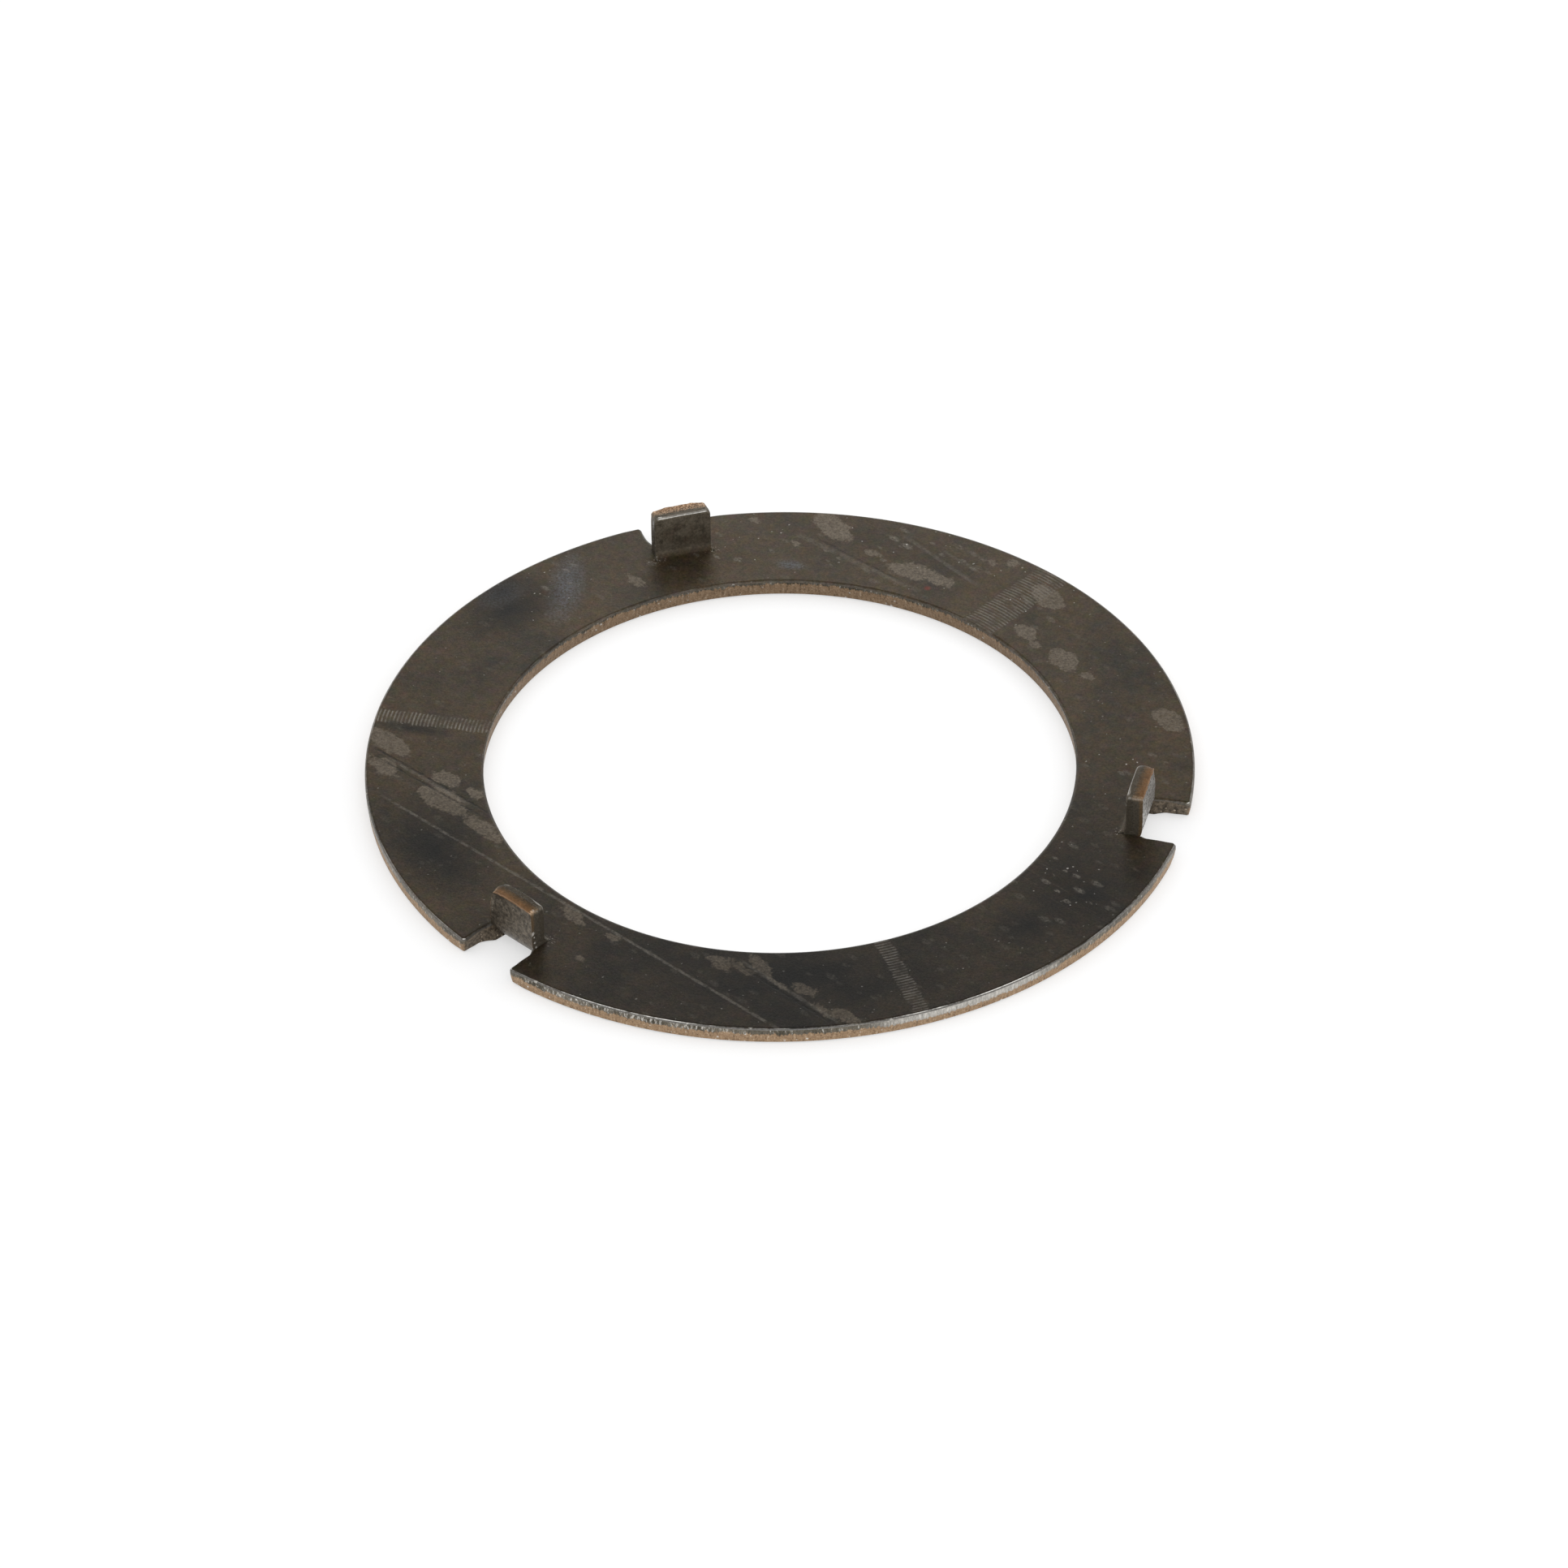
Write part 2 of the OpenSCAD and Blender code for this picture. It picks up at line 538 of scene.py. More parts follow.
@dataclass(frozen=True)
class Tab:
    """Sizes of the lanced tabs in millimetres, and how finely their outline is divided."""

    count: int = 3
    width: float = 7.0
    length: float = 7.28
    slit_w: float = 0.15
    fold_r: float = 0.9
    tip_corner_r: float = 0.65
    notch_corner_r: float = 0.5
    neutral_layer: float = 0.35
    slit_roll: float = 0.2
    slit_reach: float = 2.6
    side_roll: float = 0.5
    corner_sag: float = 1.0
    corner_reach: float = 0.7
    notch_sag: float = 0.9
    tip_lip: float = 0.2
    side_lip: float = 0.07
    lip_rise: float = 1.0
    fold_steps: int = 14
    arc_steps: int = 8
    tip_steps: int = 10
    wall_gap: float = 0.2
    side_gap: float = 0.4
    least_gap: float = 0.03

    def fade(self, gap: float) -> float:
        """Give how much of a corner's deeper edge is left at a distance from the corner."""
        return math.exp(-((gap / self.corner_reach) ** 2))


@dataclass
class FlatSector:
    """One sector of the flat blank in millimetres, with its tab still in the plane of the sheet."""

    sheet: Sheet
    tab: Tab
    point_gap: float = 0.55
    rim_step: float = 0.6
    row_squeeze: float = 0.87
    clear_share: float = 0.6
    root_clear: float = 0.15
    notch_clear: float = 0.1
    weld: float = 1e-6
    points: list[tuple[float, float, float]] = field(default_factory=list)
    values: dict[Field, list[float]] = field(default_factory=dict)
    faces: list[tuple[int, ...]] = field(default_factory=list)
    zones: list[int] = field(default_factory=list)
    runs: list[float] = field(default_factory=list)

    @property
    def half_angle(self) -> float:
        """Half of the sector's angle."""
        return math.pi / self.tab.count

    @property
    def fold_line(self) -> float:
        """Distance from the axis to the line where the tab starts to fold."""
        return self.sheet.rim_r - self.tab.length

    @property
    def fold_length(self) -> float:
        """Length of the sheet that the fold takes up, along its neutral layer."""
        return math.pi / 2 * (self.tab.fold_r + self.tab.neutral_layer * self.sheet.thickness)

    @property
    def fold_end(self) -> float:
        """Distance from the axis to the line where the flat tab's fold ends."""
        return self.fold_line + self.fold_length

    @property
    def tab_face(self) -> float:
        """Distance from the axis to the folded tab's outer face."""
        return self.fold_line + self.tab.fold_r + self.sheet.thickness

    @property
    def root(self) -> Pair:
        """Middle of the round end of the slit beside the tab."""
        return self.fold_line + self.tab.slit_w / 2, (self.tab.width + self.tab.slit_w) / 2

    def slit_ends(self) -> np.ndarray:
        """Give the ends of all the washer's slits, as complex numbers."""
        turns = np.exp(1j * math.tau * np.arange(self.tab.count) / self.tab.count)
        return np.outer(turns, (complex(*self.root), complex(*self.root).conjugate())).ravel()

    @staticmethod
    def _arc(centre: Pair, radius: float, start: float, end: float, steps: int) -> list[OutlinePoint]:
        """Give the points of an arc without its last one.

        Args:
            centre: the arc's middle.
            radius: its radius, below zero where the sheet lies outside the arc.
            start: the angle of the first outward normal.
            end: the angle of the normal where the arc ends.
            steps: how many points to give.

        Returns:
            The points in order.
        """
        ways = [(math.cos(turn), math.sin(turn)) for turn in spaced(start, end, steps)]
        return [OutlinePoint(centre[0] + radius * x, centre[1] + radius * y, x, y) for x, y in ways]

    def _side_stations(self, end_x: float) -> list[float]:
        """Give the places of points along the tab's side.

        Args:
            end_x: where the tip's corner starts.

        Returns:
            Distances from the axis, from the slit's end to the tip's corner, without the corner.
        """
        root_x = self.root[0]
        bent = spaced(self.fold_line, self.fold_end, self.tab.fold_steps)
        straight = spaced(self.fold_end, end_x, math.ceil((end_x - self.fold_end) / self.tab.side_gap))
        return [root_x] + [x for x in bent if x > root_x + self.tab.least_gap] + straight

    def _slit_share(self, x: float, most: float) -> float:
        """Give how wide the rolled edge is beside the slit, as a share that grows outwards to the most."""
        share = min((x - self.root[0]) / self.tab.slit_reach, 1.0)
        return self.tab.slit_roll + (most - self.tab.slit_roll) * share

    def outer(self) -> list[OutlinePoint]:
        """Give the outline from one end of the sector, round the tab, to the other end.

        Returns:
            The points in order, with the sheet on their left.
        """
        rim = self.sheet.rim_r
        tab = self.tab
        steps = tab.arc_steps
        quarter = math.pi / 2
        side_y = -tab.width / 2
        wall_y = side_y - tab.slit_w
        corner_y = wall_y - tab.notch_corner_r
        corner_x = math.sqrt((rim - tab.notch_corner_r) ** 2 - corner_y**2)
        rim_end = math.atan2(corner_y, corner_x)
        tip_y = side_y + tab.tip_corner_r
        tip_x = math.sqrt((rim - tab.tip_corner_r) ** 2 - tip_y**2)
        tip_turn = math.atan2(tip_y, tip_x)
        root_x, root_y = self.root

        rim_steps = math.ceil((rim_end + self.half_angle) * rim / self.rim_step)
        half = self._arc((0.0, 0.0), rim, -self.half_angle, rim_end, rim_steps)
        notch_corner = self._arc((corner_x, corner_y), tab.notch_corner_r, rim_end, quarter, steps)
        half += [replace(p, wall=k / steps) for k, p in enumerate(notch_corner)]
        for x in spaced(corner_x, root_x, math.ceil((corner_x - root_x) / tab.wall_gap)):
            half.append(OutlinePoint(x, wall_y, 0.0, 1.0, self._slit_share(x, 1.0), wall=1.0))
        for k, p in enumerate(half):
            past = math.hypot(p.x - corner_x, p.y - corner_y) - tab.notch_corner_r
            half[k] = replace(p, sag=1 + tab.notch_sag * tab.fade(past))
        slit_end = self._arc((root_x, -root_y), -tab.slit_w / 2, quarter, -quarter, steps)
        half += [replace(p, roll=tab.slit_roll, wall=1.0) for p in slit_end]
        for x in self._side_stations(tip_x):
            lip = tab.side_lip * min(max((x - self.fold_end) / tab.lip_rise, 0.0), 1.0)
            sag = 1 + tab.corner_sag * tab.fade(tip_x - x)
            roll = self._slit_share(x, tab.side_roll)
            half.append(OutlinePoint(x, side_y, 0.0, -1.0, roll, sag, lip=lip))
        for k, p in enumerate(self._arc((tip_x, tip_y), tab.tip_corner_r, -quarter, tip_turn, steps)):
            roll = tab.side_roll + (1 - tab.side_roll) * k / steps
            half.append(replace(p, roll=roll, sag=1 + tab.corner_sag, tip=k / steps, lip=tab.tip_lip))
        for p in self._arc((0.0, 0.0), rim, tip_turn, 0.0, tab.tip_steps):
            sag = 1 + tab.corner_sag * tab.fade(p.y - tip_y)
            half.append(replace(p, sag=sag, tip=1.0, lip=tab.tip_lip))
        middle = OutlinePoint(rim, 0.0, 1.0, 0.0, tip=1.0, lip=tab.tip_lip)
        return half + [middle] + [p.mirrored() for p in reversed(half)]

    def bore(self) -> list[OutlinePoint]:
        """Give the bore's outline from one end of the sector to the other.

        Returns:
            The points in order, with the sheet on their left.
        """
        radius = self.sheet.bore_r
        steps = math.ceil(2 * self.half_angle * radius / self.rim_step)
        turns = [self.half_angle * (1 - 2 * step / steps) for step in range(steps + 1)]
        ways = [(-math.cos(turn), -math.sin(turn)) for turn in turns]
        return [OutlinePoint(-radius * x, -radius * y, x, y) for x, y in ways]

    def _add_point(self, x: float, y: float, z: float, **marks: float) -> int:
        """Add one point with its values.

        Args:
            x: its place in the flat sector.
            y: its place in the flat sector.
            z: its height above the back face.
            marks: how near it is to the outline as edge, 1 at the tab's tip as tip, 1 at the notch's walls as
                wall, and how far the burr draws it out of the back face as lip.

        Returns:
            The point's number.
        """
        self.points.append((x * MM, y * MM, z * MM))
        self.values.setdefault(Field.DEPTH, []).append(1 - z / self.sheet.thickness)
        for name in (Field.EDGE, Field.TIP, Field.WALL, Field.LIP):
            self.values.setdefault(name, []).append(marks.get(name.name.lower(), 0.0))
        return len(self.points) - 1

    def _add_face(self, corners: tuple[int, ...], zone: Zone, runs: tuple[float, ...]) -> None:
        """Add one face with its zone and the way round the outline at each corner."""
        self.faces.append(corners)
        self.zones.append(int(zone))
        self.runs.extend(runs)

    def _add_edge_band(self, outline: list[OutlinePoint], run: float) -> tuple[list[int], list[int], float]:
        """Add the sheared edge along one outline.

        Args:
            outline: the outline's points in order.
            run: the way round the outline at its first point.

        Returns:
            The points of the first and the last row, and the way round the outline at its end.
        """
        rows = self.sheet.rows()
        grid = []
        for row in rows:
            line = []
            for p in outline:
                inset, z = self.sheet.place(row, p)
                marks = {"edge": row.edge, "tip": p.tip, "wall": p.wall}
                marks["lip"] = p.lip if row.reach is Reach.FOOT else 0.0
                line.append(self._add_point(p.x - p.out_x * inset, p.y - p.out_y * inset, z, **marks))
            grid.append(line)
        for column, (here, ahead) in enumerate(zip(outline, outline[1:])):
            run_ahead = run + math.hypot(ahead.x - here.x, ahead.y - here.y)
            for above, below, row in zip(grid, grid[1:], rows):
                corners = (above[column], below[column], below[column + 1], above[column + 1])
                self._add_face(corners, row.zone, (run, run, run_ahead, run_ahead))
            run = run_ahead
        return grid[0], grid[-1], run

    def _inner_places(self) -> list[Pair]:
        """Give the points that lie inside the face, away from its outline.

        Returns:
            The points, for the ring and for the tab.
        """
        gap = self.point_gap
        clear = self.sheet.roll_w + self.sheet.flat_w + self.clear_share * gap
        root_x, root_y = self.root
        low = self.sheet.bore_r + clear
        high = self.sheet.rim_r - clear
        rows = round((high - low) / (gap * self.row_squeeze))
        found = []
        for row, radius in enumerate(spaced(low, high, rows) + [high]):
            steps = round(2 * self.half_angle * radius / gap)
            for step in range(1, steps):
                turn = self.half_angle * (2 * (step + 0.5 * (row % 2)) / steps - 1)
                x = radius * math.cos(turn)
                y = radius * math.sin(turn)
                by_tab = x > self.fold_line - gap and abs(y) < root_y + clear + self.notch_clear
                if abs(turn) < self.half_angle - 0.5 * gap / radius and not by_tab:
                    found.append((x, y))
        bend_step = self.fold_length / self.tab.fold_steps
        bent = spaced(self.fold_line - bend_step, self.fold_end, self.tab.fold_steps + 1)
        straight = spaced(self.fold_end, high, round((high - self.fold_end) / gap)) + [high]
        half_w = self.tab.width / 2 - clear
        across = round(2 * half_w / gap)
        for x in bent + straight:
            for step in range(across + 1):
                y = half_w * (2 * step / across - 1)
                past_root = math.hypot(x - root_x, abs(y) - root_y) > clear + self.root_clear
                if past_root and math.hypot(x, y) < high:
                    found.append((x, y))
        return found

    def _add_faces(self, top: list[int], back: list[int]) -> None:
        """Fill the top and the back face between the outlines.

        Args:
            top: the top face's boundary in order.
            back: the back face's boundary, point for point under the top's.
        """
        inner = self._inner_places()
        flat = [Vector((self.points[i][0], self.points[i][1])) * PER_M for i in top]
        flat += [Vector(place) for place in inner]
        top_all = top + [self._add_point(x, y, self.sheet.thickness) for x, y in inner]
        back_all = back + [self._add_point(x, y, 0.0) for x, y in inner]
        filled = delaunay_2d_cdt(flat, [], [list(range(len(top)))], 1, self.weld)
        places = filled[0]
        sources = [origin[0] for origin in filled[3]]
        for triangle in filled[2]:
            a, b, c = (places[i] for i in triangle)
            turned = (b - a).cross(c - a) > 0
            order = [sources[i] for i in (triangle if turned else reversed(triangle))]
            self._add_face(tuple(top_all[i] for i in order), Zone.OXIDE, (0.0,) * len(order))
            self._add_face(tuple(back_all[i] for i in reversed(order)), Zone.BACK, (0.0,) * len(order))

    def build(self) -> Mesh:
        """Build the sector's mesh with the values that the tree and the materials read.

        Returns:
            The mesh, in metres.
        """
        outer_top, outer_back, run = self._add_edge_band(self.outer(), 0.0)
        bore_top, bore_back, _ = self._add_edge_band(self.bore(), run)
        face_in = self.sheet.roll_w + self.sheet.flat_w
        inner_r = self.sheet.bore_r + face_in
        outer_r = self.sheet.rim_r - face_in
        radii = spaced(outer_r, inner_r, round((outer_r - inner_r) / self.point_gap))[1:]
        seams: dict[tuple[int, float], list[int]] = {}
        for side in (1, -1):
            way_x = math.cos(side * self.half_angle)
            way_y = math.sin(side * self.half_angle)
            for z in (self.sheet.thickness, 0.0):
                seams[side, z] = [self._add_point(r * way_x, r * way_y, z) for r in radii]
        top_z = self.sheet.thickness
        top = outer_top + seams[1, top_z] + bore_top + seams[-1, top_z][::-1]
        back = outer_back + seams[1, 0.0] + bore_back + seams[-1, 0.0][::-1]
        self._add_faces(top, back)

        mesh = bpy.data.meshes.new("flat_sector")
        mesh.from_pydata(self.points, [], self.faces)
        for name, values in self.values.items():
            store_values(mesh, name, values)
        store_values(mesh, Field.ZONE, self.zones, "INT", "FACE")
        store_values(mesh, Field.RUN, self.runs, "FLOAT", "CORNER")
        return mesh


@dataclass(frozen=True)
class TabCorner:
    """One corner at a tab, in degrees.

    The side is 1 for the corner at the larger angle and -1 for the other one.
    """

    angle: float
    side: int

    def ways(self) -> tuple[np.ndarray, np.ndarray]:
        """Give the way out along the tab's own line, and the way across it to the corner.

        Returns:
            The two ways.
        """
        turn = math.radians(self.angle)
        line = np.array([math.cos(turn), math.sin(turn), 0.0])
        return line, np.array([-math.sin(turn), math.cos(turn), 0.0]) * self.side


@dataclass(frozen=True)
class TornWeb(TabCorner):
    """Sheet that the lancing tore instead of cutting, left in one inner corner of a notch, in millimetres."""

    length: float
    width: float
    hollow: float = 1.7
    top_share: float = 1.0
    root_rise: float = 1.2
    drag: float = 2.0

    def push(self, places: np.ndarray, sector: FlatSector) -> np.ndarray:
        """Draw the ring's sheet beside the slit into the notch.

        Args:
            places: points of the washer in millimetres, one row each.
            sector: the flat sector that it was made from.

        Returns:
            How far each point moves, one row each.
        """
        line, across = self.ways()
        along = places @ line
        gap = places @ across - sector.root[1]
        ahead = np.clip((sector.tab_face + self.length - along) / self.length, 0, 1) ** self.hollow
        behind = np.clip((along - sector.root[0]) / self.root_rise, 0, 1)
        beside = np.clip(1 - gap / self.drag, 0, 1) * (gap > 0)
        level = 1 - (1 - self.top_share) * np.clip(places[:, 2] / sector.sheet.thickness, 0, 1)
        return -np.outer(self.width * ahead * behind * beside * level, across)


@dataclass(frozen=True)
class WornCorner(TabCorner):
    """One corner of a tab's tip that is worn rounder than the others, in millimetres."""

    radius: float = 1.4
    blunt: float = 0.8
    edge_r: float = 0.25

    @staticmethod
    def _shrink(u: np.ndarray, v: np.ndarray, radius: float, was: float) -> np.ndarray:
        """Give how far points draw towards the middle of a corner's round when it grows.

        Args:
            u: distances of the points past the new round's middle, one way.
            v: their distances past it the other way.
            radius: the new round's radius.
            was: the old one's.

        Returns:
            The change as a share of u and v, 0 or less.
        """
        turn = np.arctan2(v, u)
        more = np.maximum(np.cos(turn), np.sin(turn))
        less = np.minimum(np.cos(turn), np.sin(turn))
        inner = radius - was
        reach = inner * (more + less)
        arc = reach + np.sqrt(np.maximum(reach**2 - 2 * inner**2 + was**2, 0))
        old = np.where(radius * less <= inner * more, radius / np.maximum(more, 0.1), arc)
        return np.where((u > 0) & (v > 0), radius / np.maximum(old, radius) - 1, 0.0)

    def push(self, places: np.ndarray, sector: FlatSector) -> np.ndarray:
        """Round the corner in the tab's plane, and its end through the sheet.

        Args:
            places: points of the washer in millimetres, one row each.
            sector: the flat sector that it was made from.

        Returns:
            How far each point moves, one row each.
        """
        line, across = self.ways()
        half_t = sector.sheet.thickness / 2
        out = places @ line - sector.tab_face + half_t
        on_tab = places @ line > 0
        past_side = places @ across - sector.tab.width / 2
        past = past_side + self.radius
        above = places[:, 2] - places[:, 2].max() + self.radius
        fall = self._shrink(past, above, self.radius, sector.tab.tip_corner_r) * on_tab
        moves = np.outer(past * fall, across) + np.outer(above * fall, UPWARD)
        past = past_side + self.blunt
        beyond = np.abs(out) - half_t + self.blunt
        near_top = np.clip(above / self.radius + 1, 0, 1) * on_tab
        fall = self._shrink(past, beyond, self.blunt, self.edge_r) * near_top
        return moves + np.outer(past * fall, across) + np.outer(beyond * np.sign(out) * fall, line)


@dataclass(frozen=True)
class Patch:
    """One oval mark on the top face, in millimetres and degrees."""

    x: float
    y: float
    length: float
    width: float
    lean: float

    @property
    def half(self) -> float:
        """Half of the oval's smaller size."""
        return min(self.length, self.width) / 2

    def inside(self, places: np.ndarray) -> np.ndarray:
        """Give how far points lie inside the oval.

        Args:
            places: points in millimetres, one row each.

        Returns:
            The depth inside the oval in millimetres, below zero outside it.
        """
        turn = math.radians(self.lean)
        dx = places[:, 0] - self.x
        dy = places[:, 1] - self.y
        along = (dx * math.cos(turn) + dy * math.sin(turn)) / (self.length / 2)
        across = (dy * math.cos(turn) - dx * math.sin(turn)) / (self.width / 2)
        return (1 - np.hypot(along, across)) * self.half


@dataclass(frozen=True)
class Wear:
    """Marks of use and patches of painted shade on the ring's top face, and the torn ends of the slits."""

    rubbed: tuple[Patch, ...] = (
        Patch(-45.9, -7.0, 6.6, 3.1, -36),
        Patch(-45.4, -11.4, 5.2, 2.5, -30),
        Patch(-37.4, -12.0, 4.2, 2.4, -14),
        Patch(-36.9, -16.0, 7.2, 3.8, -30),
        Patch(-33.4, -13.9, 2.8, 1.7, -25),
        Patch(-30.8, -20.0, 6.4, 2.4, -34),
        Patch(-4.8, 45.8, 7.0, 3.2, -40),
        Patch(6.6, 39.6, 6.4, 3.0, -8),
        Patch(10.2, 38.6, 4.2, 2.2, -22),
        Patch(23.6, 38.3, 5.8, 3.2, -38),
        Patch(22.4, 31.2, 3.2, 2.3, -38),
        Patch(28.2, 26.8, 5.2, 3.3, -38),
        Patch(24.2, 29.0, 1.6, 1.1, -30),
        Patch(31.6, 24.5, 1.8, 1.3, -20),
        Patch(42.8, 18.5, 5.4, 3.1, -42),
        Patch(17.9, 44.0, 1.8, 1.5, -20),
        Patch(15.5, 43.4, 1.2, 0.9, -20),
        Patch(1.2, 42.0, 2.2, 1.1, -15),
        Patch(-8.5, 41.8, 1.6, 1.2, -20),
        Patch(2.2, -37.5, 3.8, 1.7, -30),
        Patch(6.6, -36.4, 4.2, 1.9, -40),
        Patch(5.2, -38.0, 4.6, 1.3, -32),
        Patch(9.4, -39.4, 3.6, 0.8, -32),
        Patch(13.0, -40.1, 3.6, 1.8, -18),
        Patch(15.6, -42.9, 3.2, 1.0, -35),
        Patch(18.8, -43.7, 4.2, 1.9, -24),
        Patch(-16.4, -33.1, 5.0, 1.6, -42),
        Patch(-11.0, -35.8, 2.0, 1.1, -25),
        Patch(-13.6, -40.4, 1.4, 1.0, -20),
        Patch(-25.5, 30.0, 3.4, 1.6, -30),
        Patch(-14.3, 44.8, 2.0, 1.1, -30),
    )
    # Dark stains, with broad patches of painted shade over the front of the ring.
    stained_and_shaded: tuple[Patch, ...] = (
        Patch(-40.5, 24.0, 11.0, 8.0, 60),
        Patch(40.0, -16.0, 44.0, 30.0, -65),
        Patch(-44.0, -3.8, 10.0, 2.4, 0),
        Patch(12.0, -38.0, 96.0, 50.0, 12),
        Patch(-39.0, 21.0, 16.0, 10.0, 60),
        Patch(-35.0, -25.0, 24.0, 14.0, -55),
        Patch(35.5, -23.0, 20.0, 16.0, -55),
    )
    # Blue tint of the oxide; on the long patch at the back left it is partly a painted sheen.
    blued_and_sheen: tuple[Patch, ...] = (
        Patch(-33.3, 26.5, 15.0, 5.0, 96),
        Patch(-40.5, 23.5, 7.0, 5.0, 60),
        Patch(-8.0, 37.4, 4.0, 2.0, 0),
    )
    scuffed: tuple[Patch, ...] = (
        Patch(37.5, -14.0, 20.0, 12.0, -60),
        Patch(2.0, 43.0, 36.0, 14.0, -12),
        Patch(-34.5, 25.0, 18.0, 8.0, 80),
        Patch(22.0, 38.0, 14.0, 12.0, -40),
        Patch(-18.0, 37.5, 18.0, 10.0, 20),
        Patch(40.0, 9.0, 18.0, 12.0, -75),
    )
    softness: float = 0.7
    tear_reach: float = 0.55
    ring_margin: float = 0.05
    off_ring: float = -5.0

    def store(self, mesh: Mesh, sector: FlatSector) -> None:
        """Store the marks on the mesh.

        Args:
            mesh: the washer's mesh.
            sector: the flat sector that it was made from.
        """
        places = read_places(mesh)
        on_ring = places[:, 2] < sector.sheet.thickness + self.ring_margin
        rub = np.max([patch.inside(places) for patch in self.rubbed], axis=0)
        gaps = np.abs((places[:, 0] + 1j * places[:, 1])[:, None] - sector.slit_ends()).min(axis=1)
        marks = {Field.RUB: np.where(on_ring, rub, self.off_ring)}
        marks[Field.TEAR] = np.exp(-((gaps / self.tear_reach) ** 2))
        soft = {Field.SOOT: self.stained_and_shaded, Field.BLUE: self.blued_and_sheen, Field.SCUFF: self.scuffed}
        for name, patches in soft.items():
            shares = [np.clip(patch.inside(places) / patch.half, 0, 1) for patch in patches]
            marks[name] = np.max(shares, axis=0) ** self.softness * on_ring
        for name, values in marks.items():
            store_values(mesh, name, values.astype(np.float32))


class FoldTree:
    """Geometry Nodes tree that folds the tab of a flat sector and repeats the sector round the axis."""

    SIZES = ("Fold Line", "Fold Radius", "Fold Length", "Thickness", "Slit Middle", "Fracture Depth")
    NUMBERS = (*SIZES, "Neutral Layer", "Sector Run")
    WELD_GAP = 1e-6

    def __init__(self) -> None:
        """Open the tree with its named inputs, then add its nodes."""
        tree = bpy.data.node_groups.new("folded washer", "GeometryNodeTree")
        tree.is_modifier = True
        self.sketch = Sketch(tree)
        kinds = {"Geometry": Kind.SHAPE, "Tab Count": Kind.COUNT, "Seed": Kind.COUNT}
        kinds.update({name: Kind.NUMBER for name in self.NUMBERS})
        kinds.update({zone.name.title(): Kind.MATERIAL for zone in Zone})
        self.sketch.declare("OUTPUT", {"Geometry": Kind.SHAPE})
        self.sockets = self.sketch.declare("INPUT", kinds)
        self.given = self.sketch.node("NodeGroupInput").outputs
        self._join()

    def _field(self, name: Field, kind: str = "FLOAT") -> Socket:
        """Read one of the mesh's stored values."""
        inputs = {"Name": name.value}
        return self.sketch.node("GeometryNodeInputNamedAttribute", {"data_type": kind}, inputs).outputs[0]

    def _store(self, shape: Socket, name: Field, value: Socket, domain: str, kind: str = "FLOAT") -> Socket:
        """Store a value on the geometry and give the geometry after it."""
        inputs = {"Geometry": shape, "Name": name.value, "Value": value}
        settings = {"data_type": kind, "domain": domain}
        return self.sketch.node("GeometryNodeStoreNamedAttribute", settings, inputs).outputs[0]

    def _folded(self, shape: Socket) -> Socket:
        """Fold the tab up and draw out the burr round its back.

        Args:
            shape: the flat sector's geometry.

        Returns:
            The folded sector's geometry.
        """
        s = self.sketch
        given = self.given
        place = s.node("GeometryNodeInputPosition").outputs[0]
        parts = s.node("ShaderNodeSeparateXYZ", None, {0: place}).outputs
        ragged = s.smooth(s.noise(place, 900.0, 3.0, 0.7), 0.2, 0.75)
        height = s.math("SUBTRACT", parts[2], s.times(self._field(Field.LIP), s.times(ragged, MM)))
        past = s.math("SUBTRACT", parts[0], given["Fold Line"])
        between = s.math("LESS_THAN", s.math("ABSOLUTE", parts[1]), given["Slit Middle"])
        on_tab = s.times(s.math("GREATER_THAN", past, 0.0), between)
        middle_r = s.math("MULTIPLY_ADD", given["Neutral Layer"], given["Thickness"], given["Fold Radius"])
        turn = s.math("DIVIDE", s.math("MINIMUM", past, given["Fold Length"]), middle_r)
        leg = s.most(s.math("SUBTRACT", past, given["Fold Length"]), 0.0)
        pivot = s.math("ADD", given["Fold Radius"], given["Thickness"])
        arm = s.math("SUBTRACT", pivot, height)
        x = s.math("MULTIPLY_ADD", arm, s.math("SINE", turn), given["Fold Line"])
        drop = s.times(arm, s.math("COSINE", turn))
        z = s.math("ADD", s.math("SUBTRACT", pivot, drop), leg)
        shape = self._store(shape, Field.FOLD, s.times(on_tab, turn), "POINT")
        inputs = {"Geometry": shape, "Selection": on_tab, "Position": s.combine(x, parts[1], z)}
        return s.node("GeometryNodeSetPosition", None, inputs).outputs[0]

    def _repeated(self, shape: Socket) -> Socket:
        """Set the sector round the axis once for each tab and weld the seams.

        Args:
            shape: the folded sector's geometry.

        Returns:
            The whole washer's geometry.
        """
        s = self.sketch
        points = s.node("GeometryNodePoints", None, {"Count": self.given["Tab Count"]}).outputs[0]
        index = s.node("GeometryNodeInputIndex").outputs[0]
        turn = s.combine(0.0, 0.0, s.times(index, s.math("DIVIDE", math.tau, self.given["Tab Count"])))
        inputs = {"Points": points, "Instance": shape, "Rotation": turn}
        copies = s.node("GeometryNodeInstanceOnPoints", None, inputs).outputs[0]
        copies = self._store(copies, Field.SECTOR, index, "INSTANCE", "INT")
        whole = s.node("GeometryNodeRealizeInstances", None, {"Geometry": copies}).outputs[0]
        offset = s.times(self._field(Field.SECTOR, "INT"), self.given["Sector Run"])
        whole = self._store(whole, Field.RUN, s.math("ADD", self._field(Field.RUN), offset), "CORNER")
        inputs = {"Geometry": whole, "Distance": self.WELD_GAP}
        return s.node("GeometryNodeMergeByDistance", None, inputs).outputs[0]

